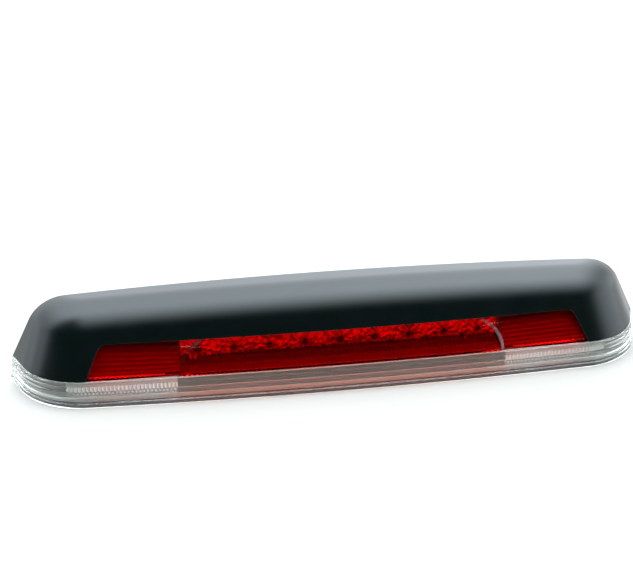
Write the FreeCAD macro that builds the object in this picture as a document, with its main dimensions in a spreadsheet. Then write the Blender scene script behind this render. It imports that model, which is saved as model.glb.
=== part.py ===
"""Third (high-mounted) brake light with two cargo lamps, for the rear edge of a pickup cab roof.

Row frame, millimetres: +X to the right as seen from behind the vehicle, -Y rearwards
(towards a following driver), +Z up.  The origin is the centre of the mounting face:
the point midway between the two mounting studs, on the plane of the compressed gasket.

Below, "front" is the lamp's lit face at -Y and "back" its cab side at +Y.  Everything is
built on the level z = 0 under the lens and lowered by the studs' height at the end.
"""
import FreeCAD
import Part

import math
import os

import Sketcher

Vector = FreeCAD.Vector
Rotation = FreeCAD.Rotation
doc = FreeCAD.newDocument("ThirdBrakeLight")

# ---------------------------------------------------------------- driving dimensions
DIMENSIONS = dict(
    # outer form; a slope is the run inwards for each millimetre forwards or upwards
    half_width=220.0, depth_all=55.0, height_all=63.2, side_slope=0.404, corner_rad=50.0,
    front_rad=3000.0, outline_back=12.0, ledge_z=17.5, hood_inset=3.0, draft_slope=0.4986,
    loft_top=66.0, crown_rad=3900.0, top_fillet=27.0, back_gap=2.0, hood_wall=2.5,
    stud_z=30.0, touch_gap=0.05,
    # clear lens
    lip_height=3.2, lip_round=0.9, band_low=1.1, band_mid_z=10.2, band_high=2.0,
    band_draft=0.35, lens_floor=2.6, lens_wall_in=4.9,
    # red lens window: half widths at the ledge and at the top
    win_low=168.3, win_high=158.0, win_top_z=38.6, win_round=4.5, win_gap=0.25,
    red_recess=0.8, red_wall=3.0, red_flange=5.0,
    # back housing
    plate_front=6.0, plate_back=3.0, seal_gap=1.2, rim_depth=15.0, rim_wall=2.0,
    locating_x=108.0, locating_z=38.5,
    # gasket: half widths at its low and high edges
    gasket_low=4.8, gasket_high=50.5, gasket_low_half=205.0, gasket_high_half=178.5,
    gasket_band=4.8, gasket_round=10.0,
    # brake section
    cup_pitch=23.7, cup_rad=13.0, cup_throat=4.6, cup_wall=1.5, cup_floor=1.2, cup_z=24.5,
    cup_front=-32.5, sill_top=20.3, refl_half=108.0, refl_low=15.8, refl_high=41.0,
    refl_front=-50.0, refl_wall=1.5, refl_gap=1.9, led_hole=3.3,
    board_front=-26.4, board_thick=1.6, board_half=106.0, board_low=15.6, board_high=48.6,
    ear_pitch=80.0, ear_z=44.6, ear_hole=1.6,
    # cargo lamps
    cargo_x=143.0, cargo_z=25.5, cargo_hole=12.6, socket_play=0.05, bulb_rad=6.2,
    flange_rad=15.6, bowl_half=25.0, bowl_wall=1.5, bowl_screw_x=19.0, bowl_screw_z=39.5,
    # studs and vent
    stud_x=180.0, stud_rad=2.5, stud_out=18.0, collar_rad=3.2, vent_x=88.0, vent_z=33.0,
    # harness; the board's two wires lie lead_offset to either side of lead_x
    wire_rad=1.1, plug_x=-20.0, plug_y=24.0, plug_z=10.0, plug_length=24.0, pin_pitch=3.0,
    lead_x=20.0, lead_z=30.0, lead_offset=1.6,
    # screws and their bosses
    screw_rad=1.45, pilot_rad=1.5, clearance_rad=1.7, head_rad=3.3, boss_rad=3.6,
    boss_reach=12.2,
)


class Size:
    """A size: its value, and the expression over the sheet that gives it."""

    def __init__(self, value, expr=None):
        self.value = float(value)
        self.expr = repr(round(self.value, 6)) if expr is None else expr

    @staticmethod
    def of(x):
        return x if isinstance(x, Size) else Size(x)

    def __add__(self, other):
        other = Size.of(other)
        return Size(self.value + other.value, f"({self.expr} + {other.expr})")

    __radd__ = __add__

    def __sub__(self, other):
        other = Size.of(other)
        return Size(self.value - other.value, f"({self.expr} - {other.expr})")

    def __rsub__(self, other):
        return Size.of(other) - self

    def __mul__(self, other):
        other = Size.of(other)
        return Size(self.value * other.value, f"({self.expr} * {other.expr})")

    __rmul__ = __mul__

    def __truediv__(self, other):
        other = Size.of(other)
        return Size(self.value / other.value, f"({self.expr} / {other.expr})")

    def __rtruediv__(self, other):
        return Size.of(other) / self

    def __neg__(self):
        return Size(-self.value, f"(0 - {self.expr})")

    def sqrt(self):
        return Size(math.sqrt(self.value), f"sqrt({self.expr})")


class Dimensions:
    """Holds each driving dimension as an attribute named by its alias."""


dim = Dimensions()
sheet = doc.addObject("Spreadsheet::Sheet", "Dims")
for row, (alias, number) in enumerate(DIMENSIONS.items(), 1):
    sheet.set(f"A{row}", alias)
    sheet.set(f"B{row}", repr(number))
    sheet.setAlias(f"B{row}", alias)
    setattr(dim, alias, Size(number, "Dims." + alias))
doc.recompute()

# ---------------------------------------------------------------- shared places
GAP = dim.touch_gap
PLATE_FRONT_Y = -dim.plate_front
PLATE_BACK_Y = -dim.plate_back
REFL_REAR = dim.board_front - dim.refl_gap
BOARD_BACK = dim.board_front + dim.board_thick
RED_INNER = dim.red_recess + dim.red_wall  # depth of the red lens's inner face under the form
CUP_X = [dim.cup_pitch * (n - 4) for n in range(9)]
EAR_X = [dim.ear_pitch * n for n in (-1, 0, 1)]
HOOD_SCREWS = [(-172.2, 41.0), (-60.0, 38.5), (60.0, 38.5), (172.2, 41.0)]  # x, z
SIDES = (("left", -1.0), ("right", 1.0))
FAR_X = 260.0  # beyond either end of the lamp


# ---------------------------------------------------------------- primitives and booleans
def bind(obj, prop, size):
    obj.setExpression(prop, Size.of(size).expr)


def place(obj, x, y, z, turn=None):
    """Puts a primitive at x, y, z (bound to the sheet), turned by turn."""
    if turn is not None:
        obj.Placement = FreeCAD.Placement(Vector(0, 0, 0), turn)
    for axis, size in (("x", x), ("y", y), ("z", z)):
        bind(obj, "Placement.Base." + axis, size)


TO_Y = Rotation(Vector(1, 0, 0), -90)  # local +Z to +Y
TO_X = Rotation(Vector(0, 1, 0), 90)  # local +Z to +X


def around(centre, half):
    """The range that reaches half to either side of centre."""
    return (Size.of(centre) - half, Size.of(centre) + half)


def mirrored(sign, near, far):
    """The x range from near to far, on the right (+1) or the left (-1)."""
    return (near, far) if sign > 0 else (-far, -near)


def box(name, x_range, y_range, z_range):
    obj = doc.addObject("Part::Box", name)
    ranges = (x_range, y_range, z_range)
    for prop, (low, high) in zip(("Length", "Width", "Height"), ranges):
        bind(obj, prop, Size.of(high) - low)
    place(obj, *(low for low, high in ranges))
    return obj


def zone(name, y0, y1):
    """Everything the lamp could fill between two depths."""
    return box(name, around(0.0, FAR_X), (y0, y1), (-5, 90))


def cyl(name, radius, length, x, y, z, turn=TO_Y):
    """A cylinder that starts at x, y, z and runs to +Y, or to +X with TO_X."""
    obj = doc.addObject("Part::Cylinder", name)
    bind(obj, "Radius", radius)
    bind(obj, "Height", length)
    place(obj, x, y, z, turn)
    return obj


def cone(name, start_rad, end_rad, length, x, y, z):
    """A cone that starts at x, y, z and runs to +Y."""
    obj = doc.addObject("Part::Cone", name)
    bind(obj, "Radius1", start_rad)
    bind(obj, "Radius2", end_rad)
    bind(obj, "Height", length)
    place(obj, x, y, z, TO_Y)
    return obj


def ball(name, radius, x, y, z):
    obj = doc.addObject("Part::Sphere", name)
    bind(obj, "Radius", radius)
    place(obj, x, y, z)
    return obj


def radial_bar(name, length, width, height, x, y, z, angle):
    """A bar from an axis along Y outwards, turned about that axis by angle degrees."""
    obj = doc.addObject("Part::Box", name)
    bind(obj, "Length", length)
    bind(obj, "Width", width)
    bind(obj, "Height", height)
    turned = FreeCAD.Placement(Vector(x.value, y.value, z.value),
                               Rotation(Vector(0, 1, 0), -angle))
    obj.Placement = turned * FreeCAD.Placement(Vector(0, 0, -height / 2), Rotation())
    return obj


def cut(name, base, tool):
    obj = doc.addObject("Part::Cut", name)
    obj.Base, obj.Tool = base, tool
    return obj


def common(name, base, tool):
    obj = doc.addObject("Part::Common", name)
    obj.Base, obj.Tool = base, tool
    return obj


def fuse(name, things):
    obj = doc.addObject("Part::MultiFuse", name)
    obj.Shapes = things
    obj.Refine = True
    return obj


def group(name, things):
    """Loose pieces, or cutting tools, held together in one compound."""
    obj = doc.addObject("Part::Compound", name)
    obj.Links = things
    return obj


PARTS = []


def finish(obj, label):
    """Labels a finished piece and marks it for export."""
    obj.Label = label
    PARTS.append(obj)


# ---------------------------------------------------------------- sketches and bodies
def on_plane(body, name, role, offset=None):
    """A sketch on one of the body's origin planes, moved along the plane's normal by offset."""
    sketch = body.newObject("Sketcher::SketchObject", name)
    plane = [f for f in body.Origin.OriginFeatures if f.Role == role][0]
    sketch.AttachmentSupport = (plane, "")
    sketch.MapMode = "FlatFace"
    if offset is not None:
        bind(sketch, "AttachmentOffset.Base.z", offset)
    return sketch


def add_line(sketch, start, end):
    ends = [Vector(x.value, y.value, 0) for x, y in (start, end)]
    return sketch.addGeometry(Part.LineSegment(*ends), False)


def add_arc(sketch, x, y, radius, angle0, angle1):
    circle = Part.Circle(Vector(x, y, 0), Vector(0, 0, 1), radius)
    return sketch.addGeometry(Part.ArcOfCircle(circle, angle0, angle1), False)


def close_loop(sketch, loop):
    """Joins the end of each element to the start of the next."""
    for n, element in enumerate(loop):
        following = loop[(n + 1) % len(loop)]
        sketch.addConstraint(Sketcher.Constraint("Coincident", element, 2, following, 1))


def drive(sketch, size, kind, *where):
    """A driving dimension, bound to the sheet when it depends on it."""
    n = sketch.addConstraint(Sketcher.Constraint(kind, *where, size.value))
    if "Dims." in size.expr:
        sketch.setExpression(f"Constraints[{n}]", size.expr)


def fix_start(sketch, element, point):
    """Holds the start of an element at a point, with two positive distances from the origin."""
    for kind, size in zip(("DistanceX", "DistanceY"), point):
        if size.value > 0:
            drive(sketch, size, kind, -1, 1, element, 1)
        else:
            drive(sketch, -size, kind, element, 1, -1, 1)


def pad_body(body, sketch, length):
    pad = body.newObject("PartDesign::Pad", body.Name + "_pad")
    pad.Profile = sketch
    bind(pad, "Length", length)
    doc.recompute()
    return pad


def fillet_edges(body, name, base, radius, select):
    """Rounds the edges of base that select accepts, and makes that the body's result."""
    edges = [f"Edge{n}" for n, edge in enumerate(base.Shape.Edges, 1) if select(edge)]
    fillet = body.newObject("PartDesign::Fillet", name)
    fillet.Base = (base, edges)
    bind(fillet, "Radius", radius)
    doc.recompute()
    body.Tip = fillet


def prism(name, role, points, length, start, radius=None, select=None):
    """A straight-sided outline padded by length, with the selected edges rounded."""
    body = doc.addObject("PartDesign::Body", name)
    sketch = on_plane(body, name + "_sketch", role, start)
    points = [(Size.of(x), Size.of(y)) for x, y in points]
    loop = [add_line(sketch, a, b) for a, b in zip(points, points[1:] + points[:1])]
    close_loop(sketch, loop)
    for element, point in zip(loop, points):
        fix_start(sketch, element, point)
    pad = pad_body(body, sketch, length)
    if select is not None:
        fillet_edges(body, name + "_round", pad, radius, select)
    return body


def yz_prism(name, points, x0, x1):
    """A profile in the plane of Y and Z, carried from x0 to x1."""
    return prism(name, "YZ_Plane", points, Size.of(x1) - x0, x0)


def outline(sketch, inset, corner):
    """The plan outline moved inwards by inset, with corner arcs of radius corner.

    It has a bowed front, two corner arcs and two sides that close towards the front.
    """
    inset, corner = Size.of(inset), Size.of(corner)
    slant = (dim.side_slope * dim.side_slope + 1.0).sqrt()
    cos_side, sin_side = 1.0 / slant, dim.side_slope / slant
    front_rad = dim.front_rad - inset
    front_y = front_rad - (dim.depth_all - inset)  # centre of the bowed front
    edge_x = dim.half_width - inset  # the side's x at y = 0

    # The right corner's centre lies on a line parallel to the side. This line starts from_x,
    # from_y off the front's centre; run is the way along it to where the arc meets the front.
    from_x = edge_x - corner * cos_side
    from_y = corner * sin_side - front_y
    along = from_x * sin_side + from_y * cos_side
    reach = front_rad - corner
    run = along + (along * along - (from_x * from_x + from_y * from_y) + reach * reach).sqrt()
    centre_x = from_x - run * sin_side
    centre_y = corner * sin_side - run * cos_side

    # Ends of the right side and corner, then their mirror images.
    side_x, side_y = edge_x - run * sin_side, -(run * cos_side)
    stretch = front_rad / reach
    front_x, front_end_y = centre_x * stretch, front_y + (centre_y - front_y) * stretch
    back_x, back_y = edge_x + dim.outline_back * dim.side_slope, dim.outline_back
    back_right, back_left = (back_x, back_y), (-back_x, back_y)
    side_right, side_left = (side_x, side_y), (-side_x, side_y)
    front_right, front_left = (front_x, front_end_y), (-front_x, front_end_y)

    sweep = math.atan2(front_end_y.value - front_y.value, front_x.value) + math.pi / 2
    angle0 = math.atan2(front_end_y.value - centre_y.value, front_x.value - centre_x.value)
    angle1 = math.atan2(side_y.value - centre_y.value, side_x.value - centre_x.value)
    down = math.pi * 1.5
    loop = [
        add_arc(sketch, 0, front_y.value, front_rad.value, down - sweep, down + sweep),
        add_arc(sketch, centre_x.value, centre_y.value, corner.value, angle0, angle1),
        add_line(sketch, side_right, back_right),
        add_line(sketch, back_right, back_left),
        add_line(sketch, back_left, side_left),
        add_arc(sketch, -centre_x.value, centre_y.value, corner.value,
                math.pi - angle1, math.pi - angle0),
    ]
    close_loop(sketch, loop)
    front, right, right_side, back, left_side, left = loop
    for element, point in ((right, front_right), (right_side, side_right), (back, back_right),
                           (left_side, back_left), (left, side_left), (front, front_left)):
        fix_start(sketch, element, point)
    for element, radius in ((front, front_rad), (right, corner), (left, corner)):
        drive(sketch, radius, "Radius", element)


def plan_pad(name, inset, corner, z0, z1):
    """The plan outline moved in by inset, straight up from z0 to z1."""
    body = doc.addObject("PartDesign::Body", name)
    sketch = on_plane(body, name + "_sketch", "XY_Plane", z0)
    outline(sketch, inset, corner)
    pad_body(body, sketch, Size.of(z1) - z0)
    return body


def plan_loft(name, z0, inset0, corner0, z1, inset1, corner1):
    """A drafted solid between two plan outlines."""
    body = doc.addObject("PartDesign::Body", name)
    low = on_plane(body, name + "_low", "XY_Plane", z0)
    outline(low, inset0, corner0)
    high = on_plane(body, name + "_high", "XY_Plane", z1)
    outline(high, inset1, corner1)
    loft = body.newObject("PartDesign::AdditiveLoft", name + "_loft")
    loft.Profile = low
    loft.Sections = [high]
    loft.Ruled = True
    doc.recompute()
    body.Tip = loft
    return body


def cut_roof(body, top, roll):
    """Cuts a body under the crowned roof line, and rolls the roof's edge with radius roll."""
    sketch = on_plane(body, body.Name + "_crown", "XZ_Plane")
    radius, half, above = dim.crown_rad, Size(FAR_X), Size(140.0)
    centre_z = top - radius
    edge_z = centre_z + (radius * radius - half * half).sqrt()
    sweep = math.asin(half.value / radius.value)
    up = math.pi / 2
    corners = [(half, edge_z), (-half, edge_z), (-half, above), (half, above)]
    loop = [add_arc(sketch, 0, centre_z.value, radius.value, up - sweep, up + sweep)]
    for n in (1, 2, 3):
        loop.append(add_line(sketch, corners[n], corners[(n + 1) % 4]))
    close_loop(sketch, loop)
    for n in (1, 2, 3, 0):
        fix_start(sketch, loop[n], corners[n])
    drive(sketch, radius, "Radius", loop[0])

    before = body.Tip.Shape.Volume
    pocket = body.newObject("PartDesign::Pocket", body.Name + "_roof")
    pocket.Profile = sketch
    pocket.Type = "ThroughAll"
    pocket.Midplane = True
    doc.recompute()
    if not pocket.Shape.Volume < before - 10:
        raise RuntimeError(body.Name + ": the roof cut removed nothing")

    def roof_edge(edge):
        bounds = edge.BoundBox
        return bounds.ZMin > top.value - 12 and bounds.YMin < 5

    fillet_edges(body, body.Name + "_roll", pocket, roll, roof_edge)


def wall(name, thick, z0, z1=dim.loft_top):
    """The hood's outer form, moved in by thick square to its front and sides."""
    z0, z1 = Size.of(z0), Size.of(z1)
    draft = dim.draft_slope
    level = Size.of(thick) * (draft * draft + 1.0).sqrt()  # the thickness as cut on the level
    inset0 = dim.hood_inset + level + (z0 - dim.ledge_z) * draft
    inset1 = dim.hood_inset + level + (z1 - dim.ledge_z) * draft
    corner0 = dim.corner_rad - 4.0 - level * 0.5
    corner1 = dim.corner_rad - 12.0 - level * 0.5
    return plan_loft(name, z0, inset0, corner0, z1, inset1, corner1)


def roofed_wall(name, thick, z0):
    """The hood's outer form with its roof, all moved in by thick."""
    body = wall(name, thick, z0)
    cut_roof(body, dim.height_all - thick, dim.top_fillet - thick)
    return body


def wall_slab(name, outer, outer_z, inner, inner_z):
    """The layer between two depths under the hood's form; each form has its own z range."""
    return cut(name, wall(name + "_face", outer, *outer_z), wall(name + "_back", inner, *inner_z))


def window(name, grow, low):
    """The window's outline, a trapezoid with rounded upper corners, carried through the front."""
    slope = (dim.win_low - dim.win_high) / (dim.win_top_z - dim.ledge_z)
    low_half = dim.win_low + grow + (dim.ledge_z - low) * slope
    high_half = dim.win_high + grow - grow * slope
    top = dim.win_top_z + grow
    points = [(-low_half, low), (low_half, low), (high_half, top), (-high_half, top)]

    def upper(edge):
        bounds = edge.BoundBox
        return bounds.ZMin > top.value - 0.5 and bounds.YLength > 10 and bounds.XLength < 1

    return prism(name, "XZ_Plane", points, 50.0, 20.0, dim.win_round + grow, upper)


# ---------------------------------------------------------------- hood and lenses
def make_hood():
    """A thin roofed shell with the window cut out and four screw bosses inside."""
    below = dim.ledge_z - 3.0
    outer = roofed_wall("hood_outer", 0.0, dim.ledge_z + 0.1)
    inner = roofed_wall("hood_inner", dim.hood_wall, below)
    shell = cut("hood_shell", cut("hood_hollow", outer, inner),
                zone("behind_hood", -dim.back_gap, 60))
    windowed = cut("hood_windowed", shell, window("win_open", 0.0, dim.ledge_z - 6.0))

    # Each boss hangs from the roof by a thin web.
    bosses, pilots = [], []
    boss_y = PLATE_FRONT_Y - dim.boss_reach
    for n, (x, z) in enumerate(HOOD_SCREWS):
        roof_z = dim.height_all - 0.8 - x * x / (2.0 * dim.crown_rad.value)
        bosses.append(cyl(f"hood_boss{n}", dim.boss_rad, dim.boss_reach - 0.2, x, boss_y, z))
        bosses.append(box(f"hood_web{n}", around(x, 0.9), (boss_y, boss_y + 2.8),
                          (z + 1.5, roof_z)))
        pilots.append(cyl(f"hood_pilot{n}", dim.pilot_rad, 11.0, x, boss_y + 1.0, z))
    fill = roofed_wall("hood_fill", dim.hood_wall * 0.5, below)
    trimmed = common("hood_bosses_in", fuse("hood_bosses", bosses), fill)
    whole = fuse("hood_whole", [windowed, trimmed])
    finish(cut("hood_finished", whole, group("hood_pilots", pilots)), "hood")


def make_clear_lens():
    """An open tray: a rounded lip and two drafted bands, hollowed from above."""
    corner = dim.corner_rad
    lip = plan_pad("lip", 0.0, corner, 0.0, dim.lip_height)

    def lip_edge(edge):
        return edge.BoundBox.ZLength < 0.01 and edge.BoundBox.YMin < 11

    fillet_edges(lip, "lip_rounding", lip.Tip, dim.lip_round, lip_edge)
    lower = plan_loft("band_lower", dim.lip_height - 0.5, dim.band_low, corner - 1.0,
                      dim.band_mid_z, dim.band_low + dim.band_draft, corner - 1.0)
    upper = plan_loft("band_upper", dim.band_mid_z - 0.2, dim.band_high, corner - 2.0,
                      dim.ledge_z, dim.band_high + dim.band_draft, corner - 2.0)
    hollow = plan_pad("clear_hollow", dim.lens_wall_in, corner - 4.5, dim.lens_floor, 40.0)
    tray = cut("clear_body", fuse("clear_outer", [lip, lower, upper]), hollow)
    behind = zone("behind_clear", -dim.back_gap, 60)
    finish(cut("clear_trimmed", tray, behind), "lens_clear")


def red_layer(name, depth, grow):
    """A layer of the red lens from depth to its inner face, grow wider than the window."""
    slab = wall_slab(name + "_slab", depth, (dim.ledge_z + GAP, 46.0),
                     RED_INNER, (dim.ledge_z - 1.0, 47.0))
    return common(name, slab, window(name + "_window", grow, dim.ledge_z - 1.0))


def make_red_lens():
    """A pane that fills the window, on a thinner rim behind the hood."""
    pane = red_layer("red_pane", dim.red_recess, -dim.win_gap)
    rim = red_layer("red_rim", dim.hood_wall + 0.15, dim.red_flange)
    finish(fuse("red_whole", [pane, rim]), "lens_red")


def make_red_optic(side, sign):
    """A panel behind a side third of the red window."""
    depth, thick, low = RED_INNER + 0.35, 2.2, dim.ledge_z + 0.6
    slab = wall_slab("red_optic_slab_" + side, depth, (low, 47.0),
                     depth + thick, (dim.ledge_z - 2.0, 48.0))
    bound = box("red_optic_bound_" + side, mirrored(sign, dim.refl_half + 0.8, Size(170.5)),
                (-60, -20), (low, 39.4))
    finish(common("red_optic_cut_" + side, slab, bound), "red_optic_" + side)


# ---------------------------------------------------------------- brake section
def make_brake_reflector():
    """A row of nine cups in an open frame, with a sill below and three screw ears above."""
    half, low, high = dim.refl_half, dim.refl_low, dim.refl_high
    front, mouth, edge = dim.refl_front, dim.cup_front, dim.refl_wall
    cup_depth = REFL_REAR - mouth

    def block(name):
        return box(name, around(0.0, half), (front, REFL_REAR), (low, high))

    shells, cups, holes = [], [], []
    for n, x in enumerate(CUP_X):
        shells.append(cone(f"cup_out{n}", dim.cup_rad + dim.cup_wall,
                           dim.cup_throat + dim.cup_wall, cup_depth, x, mouth, dim.cup_z))
        cups.append(cone(f"cup_in{n}", dim.cup_rad, dim.cup_throat,
                         cup_depth - dim.cup_floor, x, mouth, dim.cup_z))
        holes.append(cyl(f"led_hole{n}", dim.led_hole, 8.0, x, REFL_REAR - 4.0, dim.cup_z))
    void = box("refl_void", around(0.0, half - edge), (front - 1.0, REFL_REAR + 1.0),
               (low + edge, high - edge))
    frame = cut("refl_frame", block("refl_box"), void)
    shells.append(box("cup_plate", around(0.0, half), (mouth, mouth + dim.cup_floor),
                      (low, high)))
    shells_in = common("cup_shells_in", fuse("cup_shells", shells), block("refl_bound"))
    stack = cut("cup_stack", shells_in, fuse("cup_voids", cups))
    sill_profile = [
        (front, low), (REFL_REAR, low), (REFL_REAR, dim.sill_top),
        (mouth + 0.6, dim.sill_top), (front, low + edge),
    ]
    sill = yz_prism("refl_sill", sill_profile, -half, half)
    ears = []
    for n, x in enumerate(EAR_X):
        ears.append(box(f"ear{n}", around(x, 5.0), (REFL_REAR - 0.02, REFL_REAR + 1.8),
                        (high - 1.5, 48.0)))
        holes.append(cyl(f"ear_hole{n}", dim.ear_hole, 12.0, x, REFL_REAR - 5.0, dim.ear_z))
    whole = fuse("refl_all", [frame, stack, sill] + ears)
    raw = cut("refl_raw", whole, group("refl_holes", holes))
    limit = wall("refl_limit", RED_INNER + 0.9, dim.ledge_z - 3.0, 60.0)
    finish(common("refl_trimmed", raw, limit), "brake_reflector")


def make_board():
    front = dim.board_front
    raw = box("board_raw", around(0.0, dim.board_half), (front, BOARD_BACK),
              (dim.board_low, dim.board_high))
    holes = [cyl(f"board_hole{n}", dim.ear_hole, 6.0, x, front - 2.0, dim.ear_z)
             for n, x in enumerate(EAR_X)]
    finish(cut("board_drilled", raw, group("board_holes", holes)), "led_board")


def make_leds():
    """A square package with a domed front in each cup."""
    front, z, half = dim.board_front, dim.cup_z, 2.2
    leds = []
    for n, x in enumerate(CUP_X):
        pack = box(f"led_pack{n}", around(x, half), (front - 1.65, front - GAP),
                   around(z, half))
        dome = cut(f"led_dome{n}", ball(f"led_ball{n}", 1.9, x, front - 1.6, z),
                   box(f"led_trim{n}", around(x, 3), (front - 1.4, front + 3), around(z, 3)))
        leds.append(fuse(f"led{n}", [pack, dome]))
    finish(group("led_group", leds), "leds")


def make_resistors():
    offset, length, width, height, low = 6.0, 3.2, 1.6, 0.6, 20.0
    seat = BOARD_BACK + GAP
    chips = [box(f"res{n}", (x + offset, x + offset + length), (seat, seat + height),
                 (low, low + width)) for n, x in enumerate(CUP_X)]
    finish(group("res_group", chips), "board_resistors")


def make_driver():
    """An eight-legged driver chip and a surge diode on the board's back."""
    seat = BOARD_BACK + GAP
    chip = [box("driver_body", (-44.0, -36.0), (BOARD_BACK + 0.25, BOARD_BACK + 1.9),
                (30.0, 36.0))]
    leg_x, leg_pitch, leg_width = -43.0, 1.7, 0.7
    for row, leg_z in enumerate(((28.6, 30.1), (35.9, 37.4))):
        for n in range(4):
            x = leg_x + leg_pitch * n
            chip.append(box(f"driver_leg{4 * row + n}", (x, x + leg_width),
                            (seat, BOARD_BACK + 0.6), leg_z))
    diode = [box("diode_body", (-28.0, -23.5), (BOARD_BACK + 0.15, BOARD_BACK + 2.2),
                 (31.0, 34.4))]
    for n, x_range in enumerate(((-29.0, -27.9), (-23.6, -22.5))):
        diode.append(box(f"diode_end{n}", x_range, (seat, BOARD_BACK + 0.5), (31.8, 33.6)))
    parts = [fuse("driver_ic", chip), fuse("surge_diode", diode)]
    finish(group("driver_group", parts), "board_driver")


def make_header():
    """The block on the board's back that takes the two board wires."""
    raw = box("header_raw", around(dim.lead_x, 5.0), (BOARD_BACK + GAP, BOARD_BACK + 7.4),
              around(dim.lead_z, 3.6))
    ways = [cyl(f"header_way{n}", 1.35, 5.5, dim.lead_x + dim.lead_offset * sign,
                BOARD_BACK + 2.4, dim.lead_z) for n, sign in enumerate((-1, 1))]
    finish(cut("header_cut", raw, fuse("header_ways", ways)), "board_header")


def make_board_screws():
    """Slotted screws through the ears and the board into the housing's posts."""
    z = dim.ear_z
    screws = []
    for n, x in enumerate(EAR_X):
        shank = cyl(f"bscrew_shank{n}", dim.screw_rad, 13.0, x, REFL_REAR - 0.3, z)
        head = cone(f"bscrew_head{n}", 2.2, 2.7, 1.7, x, REFL_REAR - 1.8, z)
        slot = box(f"bscrew_slot{n}", around(x, 0.45), (REFL_REAR - 2.5, REFL_REAR - 0.9),
                   around(z, 1.7))
        screws.append(cut(f"bscrew{n}", fuse(f"bscrew_raw{n}", [shank, head]), slot))
    finish(group("bscrew_group", screws), "board_screws")


# ---------------------------------------------------------------- back housing and gasket
def housing_form(name, more):
    """The space inside the hood and the clear lens, less the seal gap and more."""
    thick = dim.hood_wall + dim.seal_gap + more
    upper = roofed_wall(name + "_up", thick, dim.ledge_z)
    lower = plan_pad(name + "_low", dim.lens_wall_in + dim.seal_gap + more,
                     dim.corner_rad - 6.0 - more, dim.lens_floor + dim.seal_gap + more,
                     dim.ledge_z + 0.2)
    return fuse(name, [upper, lower])


def housing_side(side, sign, added, holes):
    """One side's cargo lamp opening, stud seat, bowl posts and locating pin."""
    front, cargo_x, stud_x = PLATE_FRONT_Y, dim.cargo_x * sign, dim.stud_x * sign
    holes.append(cyl("cargo_hole_" + side, dim.cargo_hole, 8.0, cargo_x, front - 1.0,
                     dim.cargo_z))
    # The socket's lugs enter these notches, 45 degrees off their locked places.
    for n in range(3):
        holes.append(radial_bar(f"notch_{side}{n}", 15.0, 6.0, 6.4, cargo_x, front - 1.0,
                                dim.cargo_z, 90 + 120 * n - 45))
    added.append(cyl("stud_boss_" + side, 7.6, 4.3, stud_x, front - 4.0, dim.stud_z))
    holes.append(cyl("stud_seat_" + side, 5.06, 3.2, stud_x, front - 4.2, dim.stud_z))
    holes.append(cyl("stud_hole_" + side, dim.collar_rad + 0.06, 12.0, stud_x, front - 5.0,
                     dim.stud_z))
    for n, x in enumerate(around(cargo_x, dim.bowl_screw_x)):
        added.append(cyl(f"bowl_post_{side}{n}", 3.4, 2.6, x, front - 2.4, dim.bowl_screw_z))
        holes.append(cyl(f"bowl_pilot_{side}{n}", dim.pilot_rad, 4.0, x, front - 2.6,
                         dim.bowl_screw_z))
    added.append(cyl("locating_pin_" + side, 2.0, 7.5, dim.locating_x * sign,
                     PLATE_BACK_Y - 0.5, dim.locating_z))


def make_back_housing():
    """A plate with a rim towards the front, posts for the board and holes for the fittings."""
    front = PLATE_FRONT_Y
    form = housing_form("form_out", 0.0)
    hollow = housing_form("form_in", dim.rim_wall)
    plate = common("plate", form, zone("plate_zone", front, PLATE_BACK_Y))
    rim_full = common("rim_full", form, zone("rim_zone", -dim.rim_depth, front + 0.5))
    added, holes = [plate, cut("rim", rim_full, hollow)], []
    post_y = BOARD_BACK + GAP
    for n, x in enumerate(EAR_X):
        added.append(cyl(f"board_post{n}", dim.boss_rad, front - post_y + 0.3, x, post_y,
                         dim.ear_z))
        holes.append(cyl(f"board_pilot{n}", dim.pilot_rad, 13.0, x, BOARD_BACK - 0.5,
                         dim.ear_z))
    for n, (x, z) in enumerate(HOOD_SCREWS):
        holes.append(cyl(f"hood_hole{n}", dim.clearance_rad, 8.0, x, front - 1.0, z))
    for side, sign in SIDES:
        housing_side(side, sign, added, holes)
    holes.append(cyl("grommet_hole", 7.0, 8.0, dim.lead_x, front - 1.0, dim.lead_z))
    holes.append(cyl("vent_hole", 2.6, 8.0, dim.vent_x, front - 1.0, dim.vent_z))
    whole = fuse("housing_whole", added)
    finish(cut("housing_drilled", whole, group("housing_holes", holes)), "back_housing")


def gasket_form(name, inset, start, thick):
    """The gasket's trapezoid moved in by inset, from y = -start towards the front."""
    inset, thick = Size.of(inset), Size.of(thick)
    low, high = dim.gasket_low, dim.gasket_high
    slope = (dim.gasket_low_half - dim.gasket_high_half) / (high - low)
    side_inset = inset * (slope * slope + 1.0).sqrt()
    low_half = dim.gasket_low_half - side_inset - inset * slope
    high_half = dim.gasket_high_half - side_inset + inset * slope
    low, high = low + inset, high - inset
    points = [(-low_half, low), (low_half, low), (high_half, high), (-high_half, high)]

    def corner(edge):
        bounds = edge.BoundBox
        return (bounds.YLength > thick.value - 0.1 and bounds.XLength < 0.01
                and bounds.ZLength < 0.01)

    return prism(name, "XZ_Plane", points, thick, start, dim.gasket_round - inset, corner)


def make_gasket():
    """A flat ring of foam pressed between the housing and the cab."""
    outer = gasket_form("gasket_out", 0.0, 0.0, dim.plate_back - GAP)
    inner = gasket_form("gasket_in", dim.gasket_band, -1.0, 5.0)
    finish(cut("gasket_ring", outer, inner), "gasket")


# ---------------------------------------------------------------- cargo lamps
# Bowl profiles: y, z
BOWL = [(-8.5, 14.0), (-8.5, 43.0), (-24.0, 43.0), (-28.5, 36.0), (-39.5, 14.0)]
BOWL_IN = [(-10.0, 10.0), (-10.0, 41.5), (-23.2, 41.5), (-27.2, 35.3), (-39.85, 10.0)]


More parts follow.
